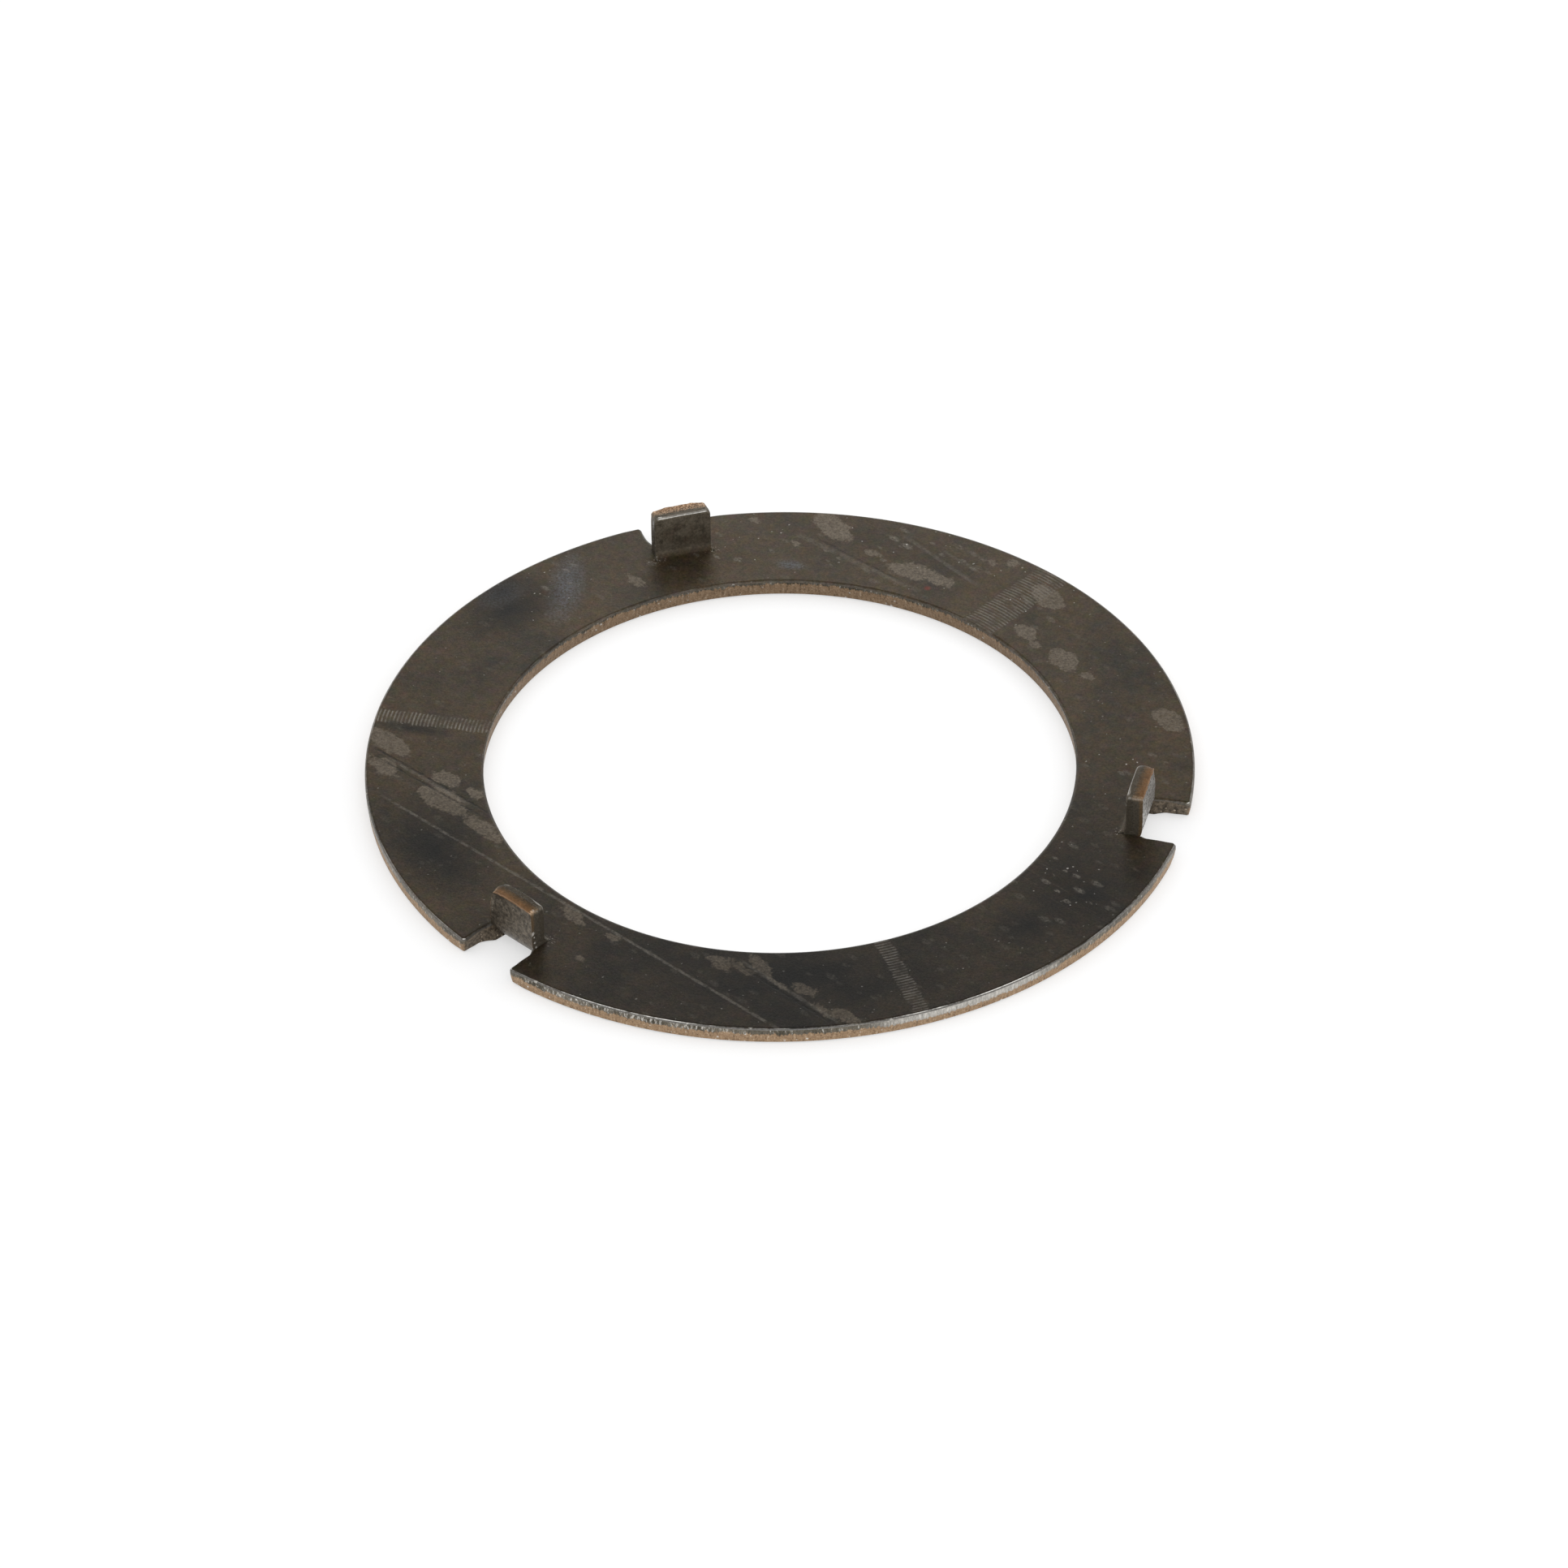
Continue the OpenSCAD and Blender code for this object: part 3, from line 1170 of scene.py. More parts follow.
    def _roughened(self, shape: Socket) -> Socket:
        """Break up the fracture zone of the sheared edge, inwards only.

        Args:
            shape: the whole washer's geometry.

        Returns:
            The geometry with its rough edge.
        """
        s = self.sketch
        depth = self._field(Field.DEPTH)
        place = s.combine(s.times(self._field(Field.RUN), 1.3), s.times(depth, 1.4), self.given["Seed"])
        chips = s.noise(place, 1.0, 4.0, 0.7)
        pull = s.times(chips, s.hump(depth, (0.4, 0.55), (1.0, 0.9)), self.given["Fracture Depth"], -1.0)
        offset = s.scaled(s.node("GeometryNodeInputNormal").outputs[0], pull)
        return s.node("GeometryNodeSetPosition", None, {"Geometry": shape, "Offset": offset}).outputs[0]

    def _join(self) -> None:
        """Join the steps, and end in the material of each zone."""
        shape = self._roughened(self._repeated(self._folded(self.given["Geometry"])))
        for zone in Zone:
            picked = self.sketch.math("COMPARE", self._field(Field.ZONE, "INT"), float(zone), 0.25)
            inputs = {"Geometry": shape, "Selection": picked, "Material": self.given[zone.name.title()]}
            shape = self.sketch.node("GeometryNodeSetMaterial", None, inputs).outputs[0]
        self.sketch.node("NodeGroupOutput", None, {0: shape})

    def apply(self, mesh: Mesh, values: dict[str, object], name: str) -> bpy.types.Object:
        """Run the tree on a mesh and keep the result as a plain mesh.

        Args:
            mesh: the flat sector.
            values: the tree's inputs by name.
            name: the finished piece's name.

        Returns:
            The piece, without a modifier.
        """
        source = bpy.data.objects.new("flat_sector", mesh)
        bpy.context.collection.objects.link(source)
        modifier = source.modifiers.new("fold", "NODES")
        modifier.node_group = self.sketch.tree
        for key, value in values.items():
            modifier[self.sockets[key].identifier] = value
        bpy.context.view_layer.update()
        graph = bpy.context.evaluated_depsgraph_get()
        result = bpy.data.meshes.new_from_object(source.evaluated_get(graph))
        source.modifiers.remove(modifier)
        bpy.data.objects.remove(source)
        result.name = name
        piece = bpy.data.objects.new(name, result)
        bpy.context.collection.objects.link(piece)
        return piece


@dataclass(frozen=True)
class JawBand:
    """One band of ticks that a gripping jaw left across the ring, in degrees and millimetres."""

    angle: float
    half_width: float
    strength: float
    fill: float


class DragTone(Enum):
    """Whether a drag mark shows bare steel or is filled with dirt."""

    PALE = "pale"
    DARK = "dark"


@dataclass(frozen=True)
class DragMark:
    """One long straight drag mark on the top face, in millimetres."""

    start: Pair
    end: Pair
    width: float
    strength: float
    tone: DragTone = DragTone.PALE


@dataclass(frozen=True)
class OxideFinish:
    """Dark oxide with brown and blue-black blotches, stains with painted shade over the front, rubbed
    patches, jaw marks, drag lines and a painted highlight on the rolled edge.
    """

    black: Colour = (0.024, 0.0199, 0.0140, 1.0)
    brown: Colour = (0.0435, 0.0318, 0.0190, 1.0)
    warm: Colour = (0.061, 0.0425, 0.0238, 1.0)
    blue: Colour = (0.069, 0.075, 0.086, 1.0)
    soot: Colour = (0.0062, 0.0062, 0.0057, 1.0)
    rubbed: Colour = (0.103, 0.0845, 0.0635, 1.0)
    scratched: Colour = (0.14, 0.127, 0.107, 1.0)
    inner_face_light: Colour = (0.092, 0.077, 0.057, 1.0)
    # Bare steel for specks and nicks, also the colour of painted glints on the edge and at the tabs' bends.
    bare: Colour = (0.50, 0.48, 0.44, 1.0)
    glint: Colour = (0.80, 0.78, 0.74, 1.0)
    rust: Colour = (0.085, 0.022, 0.014, 1.0)
    rust_spot: Way = (9.1, 36.7, 2.0)
    hue_spread: Way = (0.55, 0.5, 1.0)
    hue_base: Way = (0.725, 0.75, 0.5)
    # Ways out from the axis where the painted highlight on the rolled edge is strongest.
    glint_ways: tuple[Way, ...] = ((-0.139, -0.990, 0.0), (0.656, -0.755, 0.0))
    tick_pitch: float = 0.47
    rub_lean: float = -29.4
    nick_stretch: Way = (2.0, 1.0, 1.0)
    hair_stretch: Way = (14.0, 0.3, 1.0)
    specular: float = 0.1
    relief_mm: float = 0.022
    bands: tuple[JawBand, ...] = (
        JawBand(61.6, 2.3, 0.50, 0.03),
        JawBand(182.5, 1.15, 0.72, 0.05),
        JawBand(303.7, 0.95, 0.36, 0.08),
    )
    drags: tuple[DragMark, ...] = (
        DragMark((-45.8, -15.9), (15.9, -49.7), 0.30, 0.40),
        DragMark((-45.5, -9.6), (-33.0, -16.4), 0.42, 0.35),
        DragMark((-48.0, -8.0), (-30.2, -17.5), 0.26, 0.75, DragTone.DARK),
        DragMark((-47.6, -9.4), (-31.5, -18.0), 0.24, 0.65, DragTone.DARK),
        DragMark((-9.5, 43.8), (9.0, 35.6), 0.60, 0.22),
        DragMark((-7.0, 43.6), (7.0, 36.6), 0.30, 0.45, DragTone.DARK),
        DragMark((3.5, 46.5), (15.5, 38.2), 0.40, 0.25),
        DragMark((9.0, 44.5), (15.0, 41.0), 0.35, 0.20),
        DragMark((4.0, -36.2), (19.0, -45.2), 0.40, 0.25),
        DragMark((3.0, -36.6), (18.0, -45.4), 0.25, 0.5, DragTone.DARK),
    )

    def material(self, effects: Effects) -> Material:
        """Build the material.

        Args:
            effects: the shared node groups.

        Returns:
            The material.
        """
        p = Paint("dark oxide face", effects)
        fine = p.spread(3.4, 5.0, 0.72)
        scuff = p.stored(Field.SCUFF)
        on_tab = p.smooth(p.stored(Field.FOLD), 0.7, 1.5)
        colour, blotch = self._oxide(p, fine)
        colour = self._scuffed(p, scuff, colour)
        colour, rub = self._rubbed(p, fine, colour)
        colour, marks = self._marked(p, colour)
        colour = self._inner_face_light(p, fine, on_tab, colour)
        colour = self._edge_wear_and_glint(p, fine, colour)
        gloss = p.math("MULTIPLY_ADD", p.most(rub, scuff), 0.1, p.remap(blotch, 0.30, 0.40))
        values = {
            "Base Color": p.shaded(colour, p.remap(fine, 0.0, 2.0)),
            "Metallic": p.remap(on_tab, 0.45, 0.3),
            "Specular IOR Level": self.specular,
            "Roughness": p.math("ADD", gloss, p.remap(fine, -0.06, 0.06)),
        }
        return p.finish(values, p.math("MULTIPLY_ADD", marks, -0.8, fine), self.relief_mm)

    def _oxide(self, p: Paint, fine: Socket) -> tuple[Socket, Socket]:
        """Mix the oxide's own colours with its stains, a painted sheen in one blue patch and painted shade
        over the front.

        Args:
            p: the material's tree.
            fine: fine random values.

        Returns:
            The colour, and the mask of its browner blotches.
        """
        cloud = p.mottle(0.075, 3.2, self.black, self.brown)
        stain = p.mottle(0.20, 3.0, cloud["Color"], self.warm)
        blotch = stain["Mask"]
        colour = p.mix(0.5, cloud["Color"], stain["Color"])
        inputs = {"Vector": p.place, "Scale": 0.85, "Detail": 4.0}
        hues = p.node("ShaderNodeTexNoise", None, inputs).outputs[1]
        colour = p.shaded(colour, p.vector("MULTIPLY_ADD", hues, self.hue_spread, self.hue_base))
        colour = p.shaded(colour, p.remap(p.spread(1.3, 4.0, 0.65), 0.6, 1.4))
        # Blue tint, partly a painted sheen on the scuffed patch at the back left.
        blue = p.times(p.stored(Field.BLUE), p.smooth(fine, 0.3, 0.62), 0.85)
        colour = p.mix(blue, colour, self.blue)
        # Dark stains, and painted shade over the front of the ring.
        soot = p.times(p.stored(Field.SOOT), p.remap(blotch, 1.0, 0.8))
        colour = p.mix(soot, colour, self.soot)
        off_spot = p.math("MULTIPLY_ADD", fine, 0.6, p.measure("DISTANCE", p.place, self.rust_spot))
        return p.mix(p.smooth(off_spot, 0.9, 0.4), colour, self.rust), blotch

    def _scuffed(self, p: Paint, scuff: Socket, colour: Socket) -> Socket:
        """Scatter specks, short nicks and hairlines, more of them where the face is scuffed.

        Args:
            p: the material's tree.
            scuff: how scuffed the face is there.
            colour: the colour so far.

        Returns:
            The colour after this.
        """
        lean = (0.0, 0.0, math.radians(self.rub_lean))
        drawn = []
        for stretch in (self.hair_stretch, self.nick_stretch):
            inputs = {"Vector": p.place, "Rotation": lean, "Scale": stretch}
            drawn.append(p.node("ShaderNodeMapping", {"vector_type": "TEXTURE"}, inputs).outputs[0])
        more = p.times(p.remap(scuff, 0.2, 1.0), p.smooth(p.spread(2.6, 3.0, 0.7), 0.3, 0.6))
        hairs = p.smooth(p.noise(drawn[0], 1.0, 3.0, 0.6), 0.56, 0.76)
        colour = p.mix(p.times(hairs, more, 0.35), colour, self.rubbed)
        nicks = p.flecks(0.9, 0.42, 0.50, drawn[1])
        colour = p.mix(p.times(nicks, more, 0.6), colour, self.scratched)
        specks = p.flecks(1.7, 0.15, 0.24)
        return p.mix(p.times(specks, p.remap(scuff, 0.15, 0.65)), colour, self.bare)

    def _rubbed(self, p: Paint, fine: Socket, colour: Socket) -> tuple[Socket, Socket]:
        """Lay the rubbed patches over the oxide.

        Args:
            p: the material's tree.
            fine: fine random values.
            colour: the colour so far.

        Returns:
            The colour after this, and the patches' mask.
        """
        lobed = p.sway(p.stored(Field.RUB), p.spread(0.75, 3.0, 0.55), 1.6)
        mask = p.smooth(p.sway(lobed, fine, 0.5), -0.10, 0.22)
        salt = p.smooth(p.spread(3.2, 3.0, 0.65), 0.3, 0.62)
        faint = p.remap(p.stored(Field.SOOT), 1.0, 0.5)
        return p.mix(p.times(mask, p.remap(salt, 0.35, 1.0), faint), colour, self.rubbed), mask

    def _marked(self, p: Paint, colour: Socket) -> tuple[Socket, Socket]:
        """Lay the jaw marks and the drag lines over the face.

        Args:
            p: the material's tree.
            colour: the colour so far.

        Returns:
            The colour after this, and how deep the marks are.
        """
        depth: Value = 0.0
        for band in self.bands:
            turn = math.radians(band.angle)
            inputs = {"Vector": p.place, "Half Width": band.half_width, "Pitch": self.tick_pitch}
            inputs["Along"] = (math.cos(turn), math.sin(turn), 0.0)
            inputs["Across"] = (-math.sin(turn), math.cos(turn), 0.0)
            marks = p.group(p.effects.jaw_marks, inputs)
            colour = p.mix(p.times(marks["Band"], band.fill), colour, self.rubbed)
            colour = p.mix(p.times(marks["Ticks"], band.strength), colour, self.scratched)
            depth = p.math("ADD", depth, marks["Ticks"])
        for drag in self.drags:
            run = (drag.end[0] - drag.start[0], drag.end[1] - drag.start[1], 0.0)
            inputs = {"Vector": p.place, "Start": (*drag.start, 0.0), "Run": run, "Width": drag.width}
            line = p.group(p.effects.drag_line, inputs)[0]
            tone = self.scratched if drag.tone is DragTone.PALE else self.soot
            colour = p.mix(p.times(line, drag.strength), colour, tone)
            depth = p.math("MULTIPLY_ADD", line, 0.6, depth)
        return colour, depth

    def _inner_face_light(self, p: Paint, fine: Socket, on_tab: Socket, colour: Socket) -> Socket:
        """Paint the tabs' inner faces lighter, painted light on these upright faces, with dark grime in
        places.

        Args:
            p: the material's tree.
            fine: fine random values.
            on_tab: 1 on the straight part of a tab.
            colour: the colour so far.

        Returns:
            The colour after this.
        """
        cloud = p.smooth(p.spread(0.45, 5.0, 0.65), 0.34, 0.62)
        # Painted light: the upright inner faces of the tabs are painted lighter.
        colour = p.mix(p.times(on_tab, p.remap(cloud, 0.35, 1.0)), colour, self.inner_face_light)
        grime = p.smooth(p.spread(0.8, 4.0, 0.7), 0.52, 0.64)
        return p.mix(p.times(grime, on_tab, p.remap(fine, 0.2, 0.9)), colour, self.black)

    def _edge_wear_and_glint(self, p: Paint, fine: Socket, colour: Socket) -> Socket:
        """Paint a highlight along the rolled edge, bright flecks on the edge and at the tabs' bends, partly
        bare nicks and partly painted glints, and pale torn ends of the slits.

        Args:
            p: the material's tree.
            fine: fine random values.
            colour: the colour so far.

        Returns:
            The colour after this.
        """
        edge = p.stored(Field.EDGE)
        wall = p.stored(Field.WALL)
        fold = p.stored(Field.FOLD)
        tip = p.smooth(p.stored(Field.TIP), 0.5, 1.0)
        side = p.times(p.smooth(fold, 0.1, 0.6), p.math("SUBTRACT", 1.0, tip))
        dull = p.most(side, p.times(wall, 0.6))
        clear = p.times(p.remap(dull, 1.0, 0.15), p.remap(p.from_axis(36.0, 37.5), 0.3, 1.0))
        # Painted highlight along the rolled edge: patchy, strongest at the front, at the notches' corners and
        # along the tips.
        patchy = p.remap(p.smooth(p.spread(0.22, 5.0, 0.75), 0.40, 0.60), 0.10, 0.9)
        glint_lobes = p.most(*(p.toward(way, 47.2, 48.6) for way in self.glint_ways))
        corner = p.hump(wall, (0.1, 0.4), (1.0, 0.8))
        patchy = p.most(p.times(patchy, p.remap(glint_lobes, 0.3, 1.1)), corner, p.times(tip, 0.65))
        strip = p.hump(edge, (0.32, 0.46), (0.66, 0.52))
        foot = p.times(p.smooth(edge, 0.5, 0.75), 0.16)
        colour = p.mix(p.times(p.most(foot, p.times(strip, patchy)), clear), colour, self.glint)
        # Bright flecks on the edge are partly bare nicks and partly painted glints; at the tabs' bends they
        # are painted glints.
        bend_glints = p.hump(fold, (0.02, 0.15), (0.5, 0.3))
        near = p.most(p.smooth(edge, 0.1, 0.5), bend_glints)
        colour = p.mix(p.times(p.flecks(0.8, 0.4, 0.3), near, 0.7), colour, self.bare)
        torn = p.times(p.stored(Field.TEAR), p.smooth(fine, 0.56, 0.66), 0.6)
        return p.mix(torn, colour, self.bare)


@dataclass(frozen=True)
class ShearFinish:
    """Sheared edge: a streaked grey land over a copper-brown fracture zone, duller where a tab was lanced,
    with painted highlights on the land at the front right and at the tabs' tips.
    """

    land_dark: Colour = (0.085, 0.075, 0.056, 1.0)
    land_grey: Colour = (0.17, 0.152, 0.122, 1.0)
    land_pale: Colour = (0.66, 0.64, 0.60, 1.0)
    deep: Colour = (0.13, 0.086, 0.052, 1.0)
    copper: Colour = (0.38, 0.258, 0.158, 1.0)
    pale: Colour = (0.66, 0.55, 0.42, 1.0)
    white: Colour = (0.74, 0.71, 0.66, 1.0)
    tip_land: Colour = (0.050, 0.041, 0.029, 1.0)
    tip_deep: Colour = (0.075, 0.047, 0.024, 1.0)
    tip_copper: Colour = (0.125, 0.064, 0.026, 1.0)
    tip_pale: Colour = (0.46, 0.31, 0.20, 1.0)
    tip_glint: Colour = (0.88, 0.62, 0.42, 1.0)
    side_land: Colour = (0.064, 0.054, 0.040, 1.0)
    side_torn: Colour = (0.105, 0.069, 0.037, 1.0)
    wall_dark: Colour = (0.050, 0.039, 0.027, 1.0)
    wall_light: Colour = (0.165, 0.130, 0.092, 1.0)
    # Way out from the axis where the land takes a painted highlight and runs wider.
    bright_way: Way = (0.656, -0.755, 0.0)
    # Way out from the axis towards which the land has more pale streaks.
    front_left_way: Way = (-0.139, -0.990, 0.0)
    specular: float = 0.2
    relief_mm: float = 0.09

    def material(self, effects: Effects) -> Material:
        """Build the material.

        Args:
            effects: the shared node groups.

        Returns:
            The material.
        """
        p = Paint("sheared edge", effects)
        depth = p.stored(Field.DEPTH)
        tip = p.stored(Field.TIP)
        wall = p.stored(Field.WALL)
        side = p.math("SUBTRACT", p.smooth(p.stored(Field.FOLD), 0.2, 1.1), tip)
        streak = self._drawn(p, 3.0, 1.4, 0.0, 4.0, 0.65)
        fine = p.spread(4.6, 4.0, 0.72)
        bright = p.toward(self.bright_way, 46.9, 48.6)
        bore = p.from_axis(39.0, 37.0)
        shift = p.math("MULTIPLY_ADD", bore, 0.2, p.times(bright, -0.14))
        broken = self._broken(p, p.math("ADD", depth, shift), streak)
        colour = p.mix(broken, self._land(p, bright), self._torn(p, streak, fine))
        colour = p.shaded(colour, p.remap(bore, 1.0, 0.6))
        colour = p.mix(tip, colour, self._tip(p, depth, tip, fine))
        colour = p.mix(side, colour, self._side(p, depth, fine))
        colour = p.mix(wall, colour, self._wall(p))
        tear = p.times(p.stored(Field.TEAR), p.smooth(fine, 0.56, 0.66), 0.5)
        values = {
            "Base Color": p.mix(tear, colour, self.pale),
            "Metallic": p.remap(p.most(wall, side), 0.85, 0.3),
            "Specular IOR Level": self.specular,
            "Roughness": p.math("ADD", p.remap(broken, 0.3, 0.5), p.remap(fine, -0.08, 0.08)),
        }
        relief = p.times(p.math("MULTIPLY_ADD", streak, 0.7, fine), p.remap(broken, 0.15, 1.0))
        return p.finish(values, relief, self.relief_mm)

    @staticmethod
    def _drawn(p: Paint, per_mm: float, through: float, layer: float, detail: float, rough: float) -> Socket:
        """Give random numbers round 0.5 that follow the outline.

        Args:
            p: the material's tree.
            per_mm: how many blotches come to a millimetre along the outline.
            through: how many come to the sheet's thickness.
            layer: which layer of the noise is read.
            detail: how many finer layers are added.
            rough: how strong they are.

        Returns:
            The numbers' socket.
        """
        run = p.times(p.stored(Field.RUN), per_mm)
        place = p.combine(run, p.times(p.stored(Field.DEPTH), through), layer)
        return p.noise(place, 1.0, detail, rough)

    def _broken(self, p: Paint, depth: Socket, streak: Socket) -> Socket:
        """Give 0 on the land and 1 on the fracture zone, which meet in a ragged line."""
        line = p.sway(depth, self._drawn(p, 0.16, 0.0, 3.0, 5.0, 0.7), 0.55)
        return p.smooth(p.sway(line, streak, 0.75), 0.36, 0.46)

    def _land(self, p: Paint, bright: Socket) -> Socket:
        """Mix the burnished land, dark and grey stretches with pale streaks through the sheet.

        Args:
            p: the material's tree.
            bright: 1 where the land takes a painted highlight.

        Returns:
            The land's colour.
        """
        stretch = p.smooth(self._drawn(p, 0.2, 0.0, 5.0, 3.0, 0.5), 0.38, 0.60)
        streaks = self._drawn(p, 3.6, 2.2, 8.0, 5.0, 0.7)
        colour = p.mix(stretch, self.land_dark, self.land_grey)
        # Painted highlight on the land.
        colour = p.mix(p.times(bright, 0.6), colour, self.land_pale)
        colour = p.shaded(colour, p.remap(streaks, -0.3, 2.3))
        # More pale streaks on the land towards the front left.
        front_left_streaks = p.math("MULTIPLY_ADD", p.toward(self.front_left_way, 46.8, 48.6), 0.07, streaks)
        return p.mix(p.times(p.smooth(front_left_streaks, 0.56, 0.70), 0.8), colour, self.land_pale)

    def _torn(self, p: Paint, streak: Socket, fine: Socket) -> Socket:
        """Mix the fracture zone, tan with dark pits and pale grains.

        Args:
            p: the material's tree.
            streak: random values drawn out through the sheet.
            fine: fine random values.

        Returns:
            The zone's colour.
        """
        tone = p.math("MULTIPLY_ADD", streak, 0.4, p.times(fine, 0.6))
        colour = p.mix(p.smooth(tone, 0.34, 0.52), self.deep, self.copper)
        colour = p.mix(p.smooth(tone, 0.53, 0.68), colour, self.pale)
        crowd = p.smooth(p.spread(0.35, 3.0, 0.6), 0.42, 0.60)
        return p.mix(p.times(p.flecks(1.6, 0.5, 0.34), crowd), colour, self.white)

    def _tip(self, p: Paint, depth: Socket, tip: Socket, fine: Socket) -> Socket:
        """Mix a tab's tip, grey by the inner face and copper by the outer one.

        It is paler on the tab at the back, and its corners carry a painted highlight: copper glints on two
        tabs and a white line on the tab at the right.

        Args:
            p: the material's tree.
            depth: the depth through the sheet.
            tip: 1 on the tip, less round its corners.
            fine: fine random values.

        Returns:
            The tip's colour.
        """
        share = p.sway(depth, fine, 0.5)
        at_right = p.toward(TO_RIGHT, 40.0, 42.0)
        pale = p.remap(p.toward(TO_BACK, 20.0, 30.0), 0.06, 0.9)
        colour = p.mix(p.smooth(share, 0.34, 0.58), self.tip_land, self.tip_deep)
        colour = p.mix(p.smooth(share, 0.55, 0.85), colour, self.tip_copper)
        colour = p.shaded(colour, p.remap(p.spread(1.5, 4.0, 0.7), 0.2, 1.8))
        speckle = p.times(p.smooth(fine, 0.44, 0.62), p.smooth(share, 0.36, 0.55), pale)
        colour = p.mix(speckle, colour, self.tip_pale)
        colour = p.mix(p.times(p.smooth(depth, 0.92, 0.99), 0.25), colour, self.tip_pale)
        # Painted highlights at the tip's corners: copper glints, and a white line on the tab at the right.
        corner = p.times(p.hump(tip, (0.05, 0.35), (1.0, 0.7)), p.smooth(depth, 0.6, 0.85))
        glint = p.times(corner, p.smooth(fine, 0.4, 0.55), p.remap(at_right, 1.0, 0.15))
        colour = p.mix(glint, colour, self.tip_glint)
        line = p.times(p.hump(tip, (0.10, 0.22), (0.50, 0.34)), p.remap(fine, 0.4, 1.4), at_right)
        return p.mix(line, colour, self.white)

    def _side(self, p: Paint, depth: Socket, fine: Socket) -> Socket:
        """Mix a tab's side, dull brown-grey with a copper strip at the outer face and bright burrs.

        Args:
            p: the material's tree.
            depth: the depth through the sheet.
            fine: fine random values.

        Returns:
            The side's colour.
        """
        share = p.sway(depth, fine, 0.3)
        upper = p.most(p.toward(TO_RIGHT, 40.0, 42.0), p.toward(UPWARD, 3.6, 6.0))
        strip = p.times(p.smooth(share, 0.74, 0.90), p.remap(upper, 0.2, 1.0))
        colour = p.mix(strip, self.side_land, self.side_torn)
        colour = p.shaded(colour, p.remap(fine, 0.2, 1.8))
        torn_edge = p.times(p.smooth(share, 0.66, 0.86), p.remap(upper, 0.9, 0.0))
        burr = p.times(p.flecks(1.1, 0.4, 0.42), p.most(torn_edge, p.smooth(depth, 0.40, 0.15)), 0.8)
        return p.mix(burr, colour, self.white)

    def _wall(self, p: Paint) -> Socket:
        """Mix the walls of a notch, brown with an even speckle."""
        colour = p.mix(p.smooth(p.spread(2.6, 4.0, 0.7), 0.36, 0.64), self.wall_dark, self.wall_light)
        return p.mix(p.times(p.flecks(2.0, 0.3, 0.34), 0.6), colour, self.pale)


@dataclass(frozen=True)
class BackFinish:
    """Matte grey back face with a speckled grain, copper-brown along the tips of the tabs."""

    dark: Colour = (0.066, 0.055, 0.041, 1.0)
    light: Colour = (0.152, 0.127, 0.097, 1.0)
    lit_from_right: Colour = (0.40, 0.385, 0.362, 1.0)
    pit: Colour = (0.030, 0.026, 0.021, 1.0)
    fleck: Colour = (0.40, 0.36, 0.30, 1.0)
    copper: Colour = (0.34, 0.17, 0.072, 1.0)
    specular: float = 0.2
    relief_mm: float = 0.06

    def material(self, effects: Effects) -> Material:
        """Build the material, painted paler on the tab at the right as light falling from the right, and
        pitted there.

        Args:
            effects: the shared node groups.

        Returns:
            The material.
        """
        p = Paint("matte back face", effects)
        fine = p.spread(3.2, 5.0, 0.72)
        # Painted light: the outer face of the tab at the right is painted paler, as lit from the right.
        lit_from_right = p.times(p.toward(TO_RIGHT, 43.2, 44.2), p.smooth(p.stored(Field.FOLD), 0.9, 1.3))
        colour = p.mix(lit_from_right, p.mottle(1.8, 3.5, self.dark, self.light)["Color"], self.lit_from_right)
        colour = p.shaded(colour, p.remap(fine, -0.2, 2.2))
        pits = p.flecks(1.9, 0.5, 0.42)
        colour = p.mix(p.times(pits, 0.7), colour, self.pit)
        colour = p.mix(p.times(p.flecks(2.9, 0.3, 0.36), 0.5), colour, self.fleck)
        holes = p.times(p.smooth(p.spread(2.2, 3.0, 0.75), 0.47, 0.57), lit_from_right)
        colour = p.mix(p.times(holes, 0.85), colour, self.pit)
        rim = p.times(p.smooth(p.stored(Field.EDGE), 0.1, 0.9), p.remap(p.stored(Field.TIP), 0.15, 0.9))
        pitted = p.most(pits, holes)
        values = {
            "Base Color": p.mix(rim, colour, self.copper),
            "Metallic": p.remap(pitted, 0.75, 0.0),
            "Specular IOR Level": self.specular,
            "Roughness": p.math("MULTIPLY_ADD", pitted, 0.3, p.remap(fine, 0.24, 0.40)),
        }
        return p.finish(values, fine, self.relief_mm)


